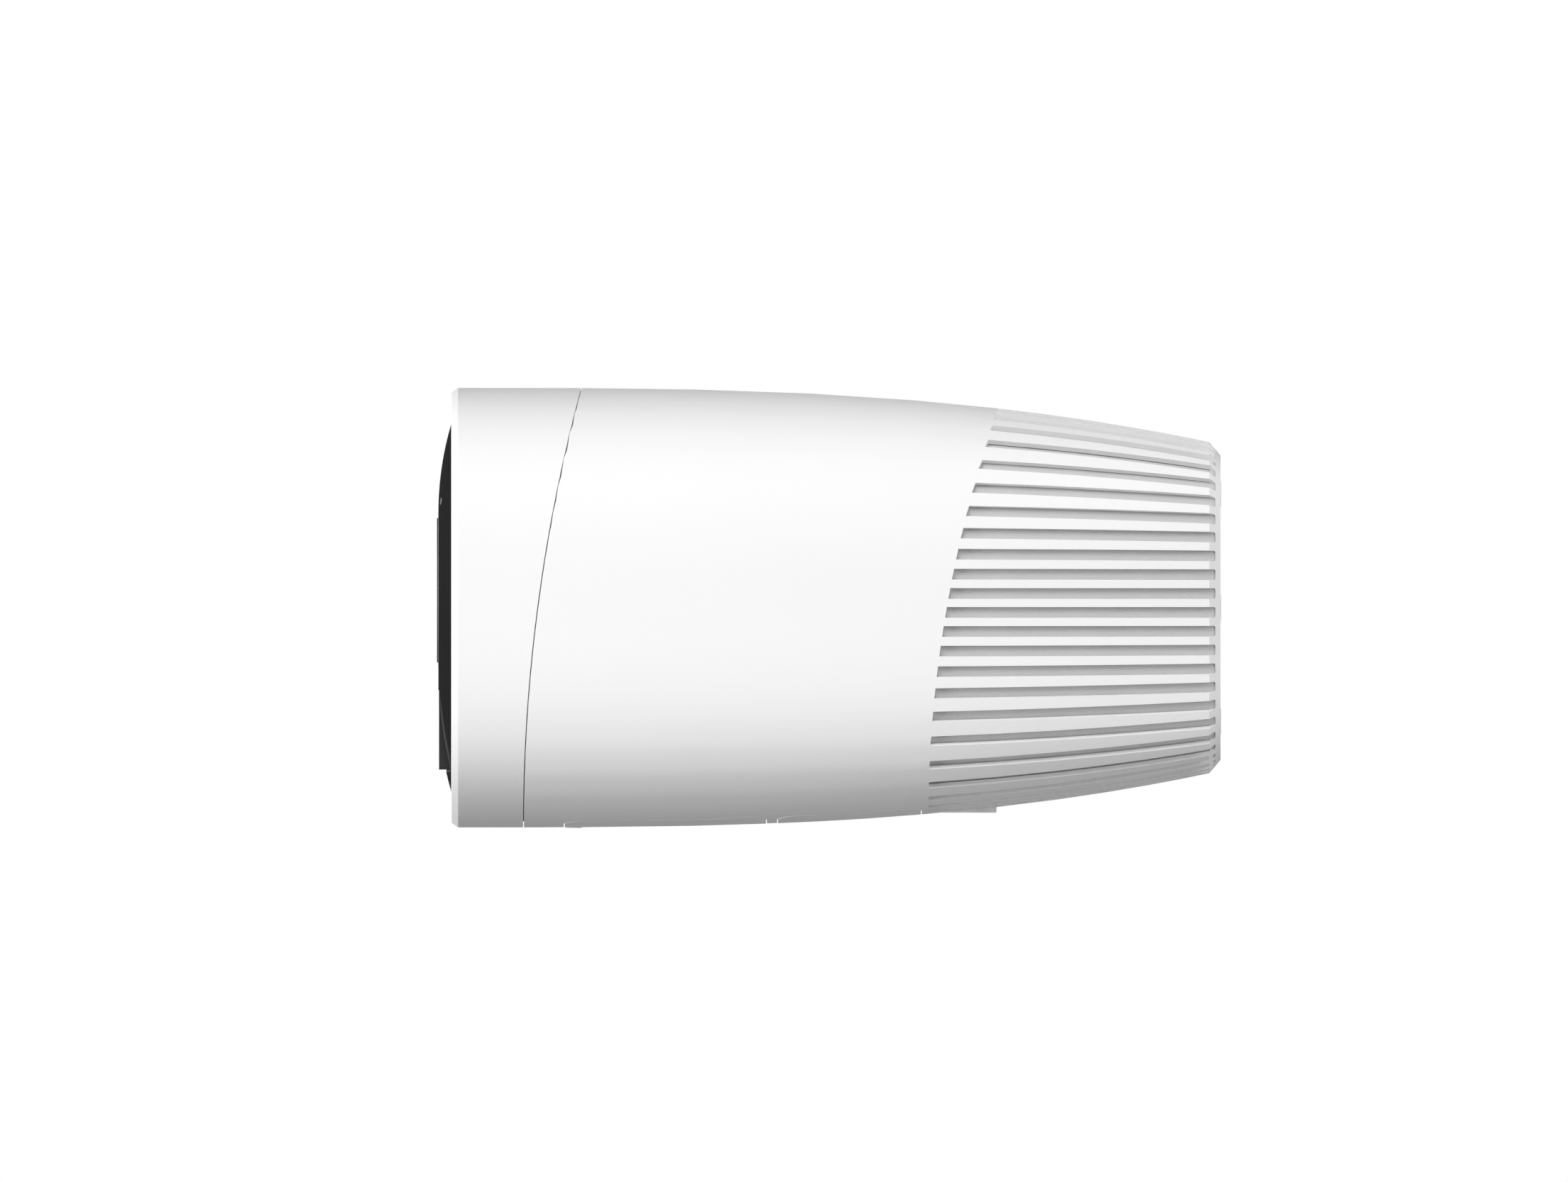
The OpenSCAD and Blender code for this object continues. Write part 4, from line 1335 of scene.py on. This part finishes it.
@dataclass
class RearCovers:
    """The service door with its latch, the electronics behind it, and the sensor cover.

    Attributes:
        cover_edge: Rounding of the covers' edges, in metres.
        vent_edge: Rounding of the sensor cover's vent holes.
        latch_coil: Radius of the latch's spring, to the middle of its wire.
        latch_wire: Radius of that spring's wire.
        latch_rounds: Turns of that spring.
        board_thickness: Thickness of the power board.
        board_border: Width of the border round the board's face.
        core_place: Place of the transformer's corner, from the lower corner of the board's face at -X.
        core_size: Size of the transformer's core.
        core_limb: Thickness of the core's limbs.
        core_hollow: Depth of the hollow between them.
        winding_margins: Distances from the core's two corners to the winding's.
        capacitor_radius: Radius of the board's capacitors.
        capacitor_height: Height of the capacitors above the board's lower edge.
        capacitor_places: Places of the capacitors in X.
        connector_place: Place of the connector's corner, from the lower corner of the board's face at +X.
        connector_size: Size of the connector.
        driver_corners: The two corners of a driver chip: X in the frame, Y from the board, Z from its foot.
        driver_heights: Heights of the driver chips' feet above the connector's lower edge.
    """

    cover_edge: float = 0.35 * MM
    vent_edge: float = 0.15 * MM
    latch_coil: float = 1.3 * MM
    latch_wire: float = 0.25 * MM
    latch_rounds: int = 6
    board_thickness: float = 1.6 * MM
    board_border: float = 1.4 * MM
    core_place: Vector = Vector((8, 0, 7)) * MM
    core_size: Vector = Vector((26, 9, 22)) * MM
    core_limb: float = 5.0 * MM
    core_hollow: float = 4.0 * MM
    winding_margins: tuple[Vector, Vector] = (Vector((6, 4, 6)) * MM, Vector((6, 1, 6)) * MM)
    capacitor_radius: float = 4.9 * MM
    capacitor_height: float = 53.0 * MM
    capacitor_places: tuple[float, ...] = (-24 * MM, -10 * MM, 4 * MM)
    connector_place: Vector = Vector((-26, 0, 9)) * MM
    connector_size: Vector = Vector((18, 8, 14)) * MM
    driver_corners: tuple[Vector, Vector] = (Vector((14, 0, 0)) * MM, Vector((24, 2.2, 8)) * MM)
    driver_heights: tuple[float, ...] = (24 * MM, 38 * MM)

    def build(self, paints: Paints) -> None:
        """Builds and dresses the back.

        Args:
            paints: The built finishes.
        """
        for recipe in (
            Recipe("service_door", "service_door_panel", Body.DOOR, Slot.WHITE_SHELL, self.cover_edge, 3),
            Recipe("door_latch", "latch_button", Body.LATCH, Slot.WHITE_SHELL, self.cover_edge, 3),
            Recipe("electronics_tray", "board_tray", Body.CASING, Slot.GREY_PLASTIC, 0.3 * MM),
            Recipe("board_screws", "board_screw_set", Body.CASING, Slot.STEEL, 0.12 * MM),
            Recipe("sensor_cover", "sensor_lid_panel", Body.SENSOR_LID, Slot.WHITE_SHELL, self.vent_edge),
            Recipe("sensor_module", "air_sensor", Body.CASING, Slot.DARK_PLASTIC, 0.4 * MM),
        ):
            recipe.make(paints)
        self._latch_spring(paints)
        self._power_board(paints)

    def _latch_spring(self, paints: Paints) -> None:
        """Winds the spring behind the latch, lying along Y.

        Args:
            paints: The built finishes.
        """
        low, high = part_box("latch_spring")
        spring = coil("latch_coil", self.latch_coil, self.latch_wire, 0, high.y - low.y, self.latch_rounds)
        spring.data.transform(Matrix.Translation((0, low.y, (low.z + high.z) / 2)) @ LAID_BACK)
        place(spring, Body.CASING, Slot.STEEL, paints, "latch_spring")

    def _power_board(self, paints: Paints) -> None:
        """Models the board and the parts that stand on it.

        Args:
            paints: The built finishes.
        """
        low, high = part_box("power_board")
        face = low.y + self.board_thickness
        board = block("mains_board", low, Vector((high.x, face, high.z)))
        pick_faces(board, facing(Axis.Y))
        bpy.ops.mesh.inset(thickness=self.board_border)
        leave_edit()
        soften(board, 0.25 * MM)
        place(board, Body.CASING, Slot.CIRCUIT_BOARD, paints, "power_board")
        self._transformer(paints, Vector((low.x, face, low.z)) + self.core_place)
        self._capacitors(paints, face, high.y, low.z + self.capacitor_height)
        self._small_parts(paints, Vector((high.x, face, low.z)) + self.connector_place)

    def _transformer(self, paints: Paints, corner: Vector) -> None:
        """Models the wound transformer: a core with a coil former between its limbs.

        Args:
            paints: The built finishes.
            corner: Its lowest corner.
        """
        far_corner = corner + self.core_size
        core = block("core", corner, far_corner)
        pick_faces(core, facing(Axis.Y))
        bpy.ops.mesh.inset(thickness=self.core_limb)
        bpy.ops.mesh.extrude_region_move(TRANSFORM_OT_translate={"value": (0, -self.core_hollow, 0)})
        leave_edit()
        soften(core, 0.4 * MM)
        place(core, Body.CASING, Slot.DARK_PLASTIC, paints)
        near_margin, far_margin = self.winding_margins
        winding = block("winding", corner + near_margin, far_corner - far_margin)
        soften(winding, 1.2 * MM, 3)
        place(winding, Body.CASING, Slot.PULL_TAB, paints)

    def _capacitors(self, paints: Paints, face: float, top: float, height: float) -> None:
        """Models the capacitors: cans with a sunken lid inside a narrow rim.

        Args:
            paints: The built finishes.
            face: Place of the board's face in Y.
            top: Place of the capacitors' lids in Y.
            height: Height of their middles.
        """
        can = upright_rod("capacitor", self.capacitor_radius, 0, top - face, sides=48)
        pick_faces(can, facing(Axis.Z))
        bpy.ops.mesh.inset(thickness=0.7 * MM)
        bpy.ops.transform.translate(value=(0, 0, -0.3 * MM))
        bpy.ops.mesh.inset(thickness=2.2 * MM)
        leave_edit()
        soften(can, 0.25 * MM)
        moves = [Matrix.Translation((x, face, height)) @ LAID_BACK for x in self.capacitor_places]
        place(join("capacitors", copies(can, moves)), Body.CASING, Slot.MOTOR_CAN, paints)

    def _small_parts(self, paints: Paints, corner: Vector) -> None:
        """Models the mains connector and the driver chips above it.

        Args:
            paints: The built finishes.
            corner: The connector's lowest corner.
        """
        plug = block("connector", corner, corner + self.connector_size)
        pick_faces(plug, facing(Axis.Z, -1))
        bpy.ops.mesh.inset(thickness=1.2 * MM)
        bpy.ops.mesh.extrude_region_move(TRANSFORM_OT_translate={"value": (0, 0, 6 * MM)})
        leave_edit()
        soften(plug, 0.3 * MM)
        place(plug, Body.CASING, Slot.GREY_PLASTIC, paints)
        driver = block("driver", *self.driver_corners)
        pick_faces(driver, facing(Axis.Y))
        bpy.ops.mesh.inset(thickness=0.8 * MM)
        leave_edit()
        soften(driver, 0.3 * MM)
        moves = [Matrix.Translation((0, corner.y, corner.z + height)) for height in self.driver_heights]
        place(join("driver_chips", copies(driver, moves)), Body.CASING, Slot.DARK_PLASTIC, paints)


@dataclass
class MainsInlet:
    """The boss at the foot of the back, with its socket and pins.

    Attributes:
        boss_edge: Rounding of the boss, in metres.
    """

    boss_edge: float = 0.6 * MM

    def build(self, paints: Paints) -> None:
        """Builds and dresses the inlet.

        Args:
            paints: The built finishes.
        """
        for recipe in (
            Recipe("power_inlet", "inlet_boss", Body.CASING, Slot.WHITE_SHELL, self.boss_edge, 3, 40.0),
            Recipe("inlet_socket", "inlet_well", Body.CASING, Slot.DARK_PLASTIC, 0.2 * MM),
            Recipe("inlet_pins", "inlet_pin_pair", Body.CASING, Slot.STEEL, 0.5 * MM, 3),
        ):
            recipe.make(paints)


@dataclass
class FanUnit:
    """The bulkhead, the fan in its housing and the motor.

    Attributes:
        blade_edge: Rounding of the fan's blades, in metres.
    """

    blade_edge: float = 0.25 * MM

    def build(self, paints: Paints) -> None:
        """Builds and dresses the fan.

        Args:
            paints: The built finishes.
        """
        for recipe in (
            Recipe("bulkhead", "air_bulkhead", Body.CASING, Slot.GREY_PLASTIC, 0.4 * MM),
            Recipe("intake_guard", "intake_grid", Body.CASING, Slot.DARK_PLASTIC, 0.25 * MM),
            Recipe("fan_housing", "fan_drum", Body.CASING, Slot.GREY_PLASTIC, 0.4 * MM),
            Recipe("motor_bracket", "motor_mount", Body.CASING, Slot.GREY_PLASTIC, 0.3 * MM),
            Recipe("motor_screws", "motor_screw_set", Body.CASING, Slot.STEEL, 0.12 * MM),
            Recipe("fan_motor", "motor_can_body", Body.CASING, Slot.MOTOR_CAN, 0.6 * MM, 3),
            Recipe("motor_shaft", "fan_shaft", Body.FAN_WHEEL, Slot.STEEL, 0.4 * MM),
            Recipe("impeller", "fan_impeller", Body.FAN_WHEEL, Slot.DARK_PLASTIC, self.blade_edge),
            Recipe("impeller_nut", "fan_nut", Body.FAN_WHEEL, Slot.STEEL, 0.25 * MM),
            Recipe("casing_screws", "casing_screw_set", Body.CASING, Slot.STEEL, 0.12 * MM),
        ):
            recipe.make(paints)


@dataclass
class Foot:
    """The round base cover, its pads and the drum filter above it.

    Attributes:
        cover_edge: Rounding of the cover's edges, in metres.
        pad_radius: Radius of each pad.
        pad_count: Number of pads.
        tread: Widths of the rings under a pad from its edge inwards, and how far up each one's inside goes.
    """

    cover_edge: float = 0.35 * MM
    pad_radius: float = 7.0 * MM
    pad_count: int = 4
    tread: tuple[tuple[float, float], ...] = (
        (1.0 * MM, 0.0), (0.5 * MM, 0.3 * MM), (0.7 * MM, 0.0), (0.5 * MM, -0.3 * MM)
    )

    def build(self, paints: Paints) -> None:
        """Builds and dresses the foot and the filter.

        Args:
            paints: The built finishes.
        """
        for recipe in (
            Recipe("base_cover", "twist_cover", Body.BASE, Slot.WHITE_SHELL, self.cover_edge),
            Recipe("filter_bottom_cap", "filter_lower_cap", Body.CASING, Slot.FILTER_CAP, 0.6 * MM, 3),
            Recipe("filter_core", "filter_inner_cage", Body.CASING, Slot.GREY_PLASTIC, 0.25 * MM),
            Recipe("filter_media", "filter_pleats", Body.CASING, Slot.FILTER_PAPER, 0.2 * MM, 2, 40.0),
            Recipe("filter_top_cap", "filter_upper_cap", Body.CASING, Slot.FILTER_CAP, 0.6 * MM, 3),
            Recipe("filter_gasket", "filter_seal", Body.CASING, Slot.RUBBER, 1.2 * MM, 4),
            Recipe("filter_pull_tab", "filter_ribbon", Body.CASING, Slot.PULL_TAB, 0.2 * MM),
        ):
            recipe.make(paints)
        self._pads(paints)

    def _pads(self, paints: Paints) -> None:
        """Models the pads, each with rings of tread underneath.

        Args:
            paints: The built finishes.
        """
        low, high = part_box("foot_pads")
        pad = upright_rod("pad", self.pad_radius, low.z, high.z, (high.x - self.pad_radius, 0.0), 64)
        pick_faces(pad, facing(Axis.Z, -1))
        for width, step in self.tread:
            bpy.ops.mesh.inset(thickness=width)
            bpy.ops.transform.translate(value=(0, 0, step))
        leave_edit()
        soften(pad, 0.12 * MM)
        pads = join("grip_pads", copies(pad, turns(self.pad_count)))
        place(pads, Body.BASE, Slot.RUBBER, paints, "foot_pads")


@dataclass(frozen=True)
class SoftLight:
    """One far, wide lamp.

    Attributes:
        azimuth: Direction in degrees, 0 on the side of -X and rising towards +Y.
        elevation: Height above the horizon, in degrees.
        strength: Strength of the lamp.
        spread: Apparent width, in degrees.
        distance: Distance from the purifier, in metres.
    """

    azimuth: float
    elevation: float
    strength: float
    spread: float
    distance: float = 3.0

    def build(self, name: str) -> None:
        """Hangs the lamp, unseen in polished faces.

        Args:
            name: The lamp's name.
        """
        turn, rise = math.radians(self.azimuth), math.radians(self.elevation)
        level = math.cos(rise)
        towards = Vector((-level * math.cos(turn), level * math.sin(turn), math.sin(rise)))
        lamp = bpy.data.lights.new(name, "SUN")
        lamp.energy = self.strength
        lamp.angle = math.radians(self.spread)
        holder = bpy.data.objects.new(name, lamp)
        holder.rotation_euler = towards.to_track_quat("Z", "Y").to_euler()
        holder.location = towards * self.distance
        holder.visible_glossy = False
        bpy.context.scene.collection.objects.link(holder)


@dataclass
class Studio:
    """The pale floor, the soft lamps, the white surround and the camera.

    Attributes:
        floor_size: Width of the floor, in metres.
        floor_drop: Distance of the floor below the pads.
        floor_tone: Tone of the floor.
        floor_roughness: Roughness of the floor.
        floor_shine: Strength of the floor's plain reflection.
        lamps: The soft lamps.
        fill: Strength of the light that comes from all round.
        side_box: Brightness of the wide, low soft box at -X that polished faces mirror.
        side_box_edge: Heights between which the side box fades in, 0 being the horizon.
        top_box: Brightness of the soft box overhead that polished faces mirror.
        top_box_edge: Heights between which the overhead soft box fades in, 1 being straight up.
        dim: Brightness that the overhead fade starts from.
        view_width: Width of the camera's view, in metres.
        view_centre: Point in the middle of the view: distance in front of the side, Y and Z.
    """

    floor_size: float = 6.0
    floor_drop: float = 0.2 * MM
    floor_tone: Colour = (0.8, 0.8, 0.8)
    floor_roughness: float = 0.9
    floor_shine: float = 0.1
    lamps: tuple[SoftLight, ...] = (
        SoftLight(-42, 17, 2.13, 40),
        SoftLight(33, 70, 2.42, 40),
        SoftLight(-26, -52, 1.3, 40),
        SoftLight(38, -52, 0.6, 40),
        SoftLight(180, 38, 2.1, 40),
    )
    fill: float = 0.04
    side_box: float = 3.4
    side_box_edge: tuple[float, float] = (0.06, -0.06)
    top_box: float = 2.0
    top_box_edge: tuple[float, float] = (0.58, 0.92)
    dim: float = 0.032
    view_width: float = 0.8563
    view_centre: Vector = Vector((-2.0, -0.0091, 0.2386))

    def build(self) -> None:
        """Sets up the whole studio."""
        self._floor()
        for number, lamp in enumerate(self.lamps):
            lamp.build(f"soft_lamp_{number}")
        self._surround()
        self._camera()
        bpy.context.scene.view_settings.view_transform = "Standard"

    def _floor(self) -> None:
        """Lays the floor just under the pads, where light from below passes through it."""
        bpy.ops.mesh.primitive_plane_add(size=self.floor_size, location=(0, 0, -self.floor_drop))
        floor = bpy.context.object
        floor.name = "studio_floor"
        material = bpy.data.materials.new("floor_paint")
        material.use_nodes = True
        shader = material.node_tree.nodes["Principled BSDF"]
        shader.inputs["Roughness"].default_value = self.floor_roughness
        shader.inputs["Specular IOR Level"].default_value = self.floor_shine
        shader.inputs["Base Color"].default_value = (*self.floor_tone, 1.0)
        floor.data.materials.append(material)
        floor.visible_diffuse = False
        floor.visible_shadow = False

    def _surround(self) -> None:
        """Makes the surround: plain white to look at, a weak fill as a light, soft boxes in reflections."""
        world = bpy.data.worlds.new("studio_surround")
        bpy.context.scene.world = world
        world.use_nodes = True
        nodes, links = world.node_tree.nodes, world.node_tree.links
        path = nodes.new("ShaderNodeLightPath")
        seen = nodes["Background"]
        cast, mirrored = (nodes.new("ShaderNodeBackground") for _ in range(2))
        for background, strength in ((seen, 1.0), (cast, self.fill)):
            background.inputs["Color"].default_value = (1, 1, 1, 1)
            background.inputs["Strength"].default_value = strength
        split = nodes.new("ShaderNodeSeparateXYZ")
        links.new(nodes.new("ShaderNodeTexCoord").outputs["Generated"], split.inputs[0])
        fades = []
        for axis, start, end, low, high in (
            ("X", 0.0, -1.0, 0.0, self.side_box),
            ("Z", *self.side_box_edge, 0.0, 1.0),
            ("Z", *self.top_box_edge, self.dim, self.top_box),
        ):
            fade = nodes.new("ShaderNodeMapRange")
            limits = {"From Min": start, "From Max": end, "To Min": low, "To Max": high}
            for label, value in limits.items():
                fade.inputs[label].default_value = value
            links.new(split.outputs[axis], fade.inputs["Value"])
            fades.append(fade.outputs[0])
        boxes = nodes.new("ShaderNodeMath")
        boxes.operation = "MULTIPLY_ADD"
        for fade, socket in zip(fades, boxes.inputs):
            links.new(fade, socket)
        links.new(boxes.outputs[0], mirrored.inputs["Strength"])
        last = cast
        for ray, background in (("Is Glossy Ray", mirrored), ("Is Camera Ray", seen)):
            mix = nodes.new("ShaderNodeMixShader")
            sources = (path.outputs[ray], last.outputs[0], background.outputs[0])
            for source, socket in zip(sources, mix.inputs):
                links.new(source, socket)
            last = mix
        links.new(last.outputs[0], nodes["World Output"].inputs["Surface"])

    def _camera(self) -> None:
        """Puts the square-on camera at the purifier's left side, with the top to the view's left."""
        lens = bpy.data.cameras.new("studio_camera")
        lens.type = "ORTHO"
        lens.ortho_scale = self.view_width
        holder = bpy.data.objects.new("studio_camera", lens)
        right, upward, backward = Vector((0, 0, -1)), Vector((0, -1, 0)), Vector((-1, 0, 0))
        holder.rotation_euler = Matrix((right, upward, backward)).transposed().to_euler()
        holder.location = self.view_centre
        bpy.context.scene.collection.objects.link(holder)
        bpy.context.scene.camera = holder


def main() -> None:
    """Builds the studio, then each sub-assembly in turn."""
    logging.basicConfig(level=logging.INFO, format="%(name)s: %(message)s")
    Studio().build()
    paints = Paints()
    for assembly in (Casing(), DomedTop(), PressDisc(), RearCovers(), MainsInlet(), FanUnit(), Foot()):
        LOG.info("building %s", type(assembly).__name__)
        assembly.build(paints)


if __name__ == "__main__":
    main()
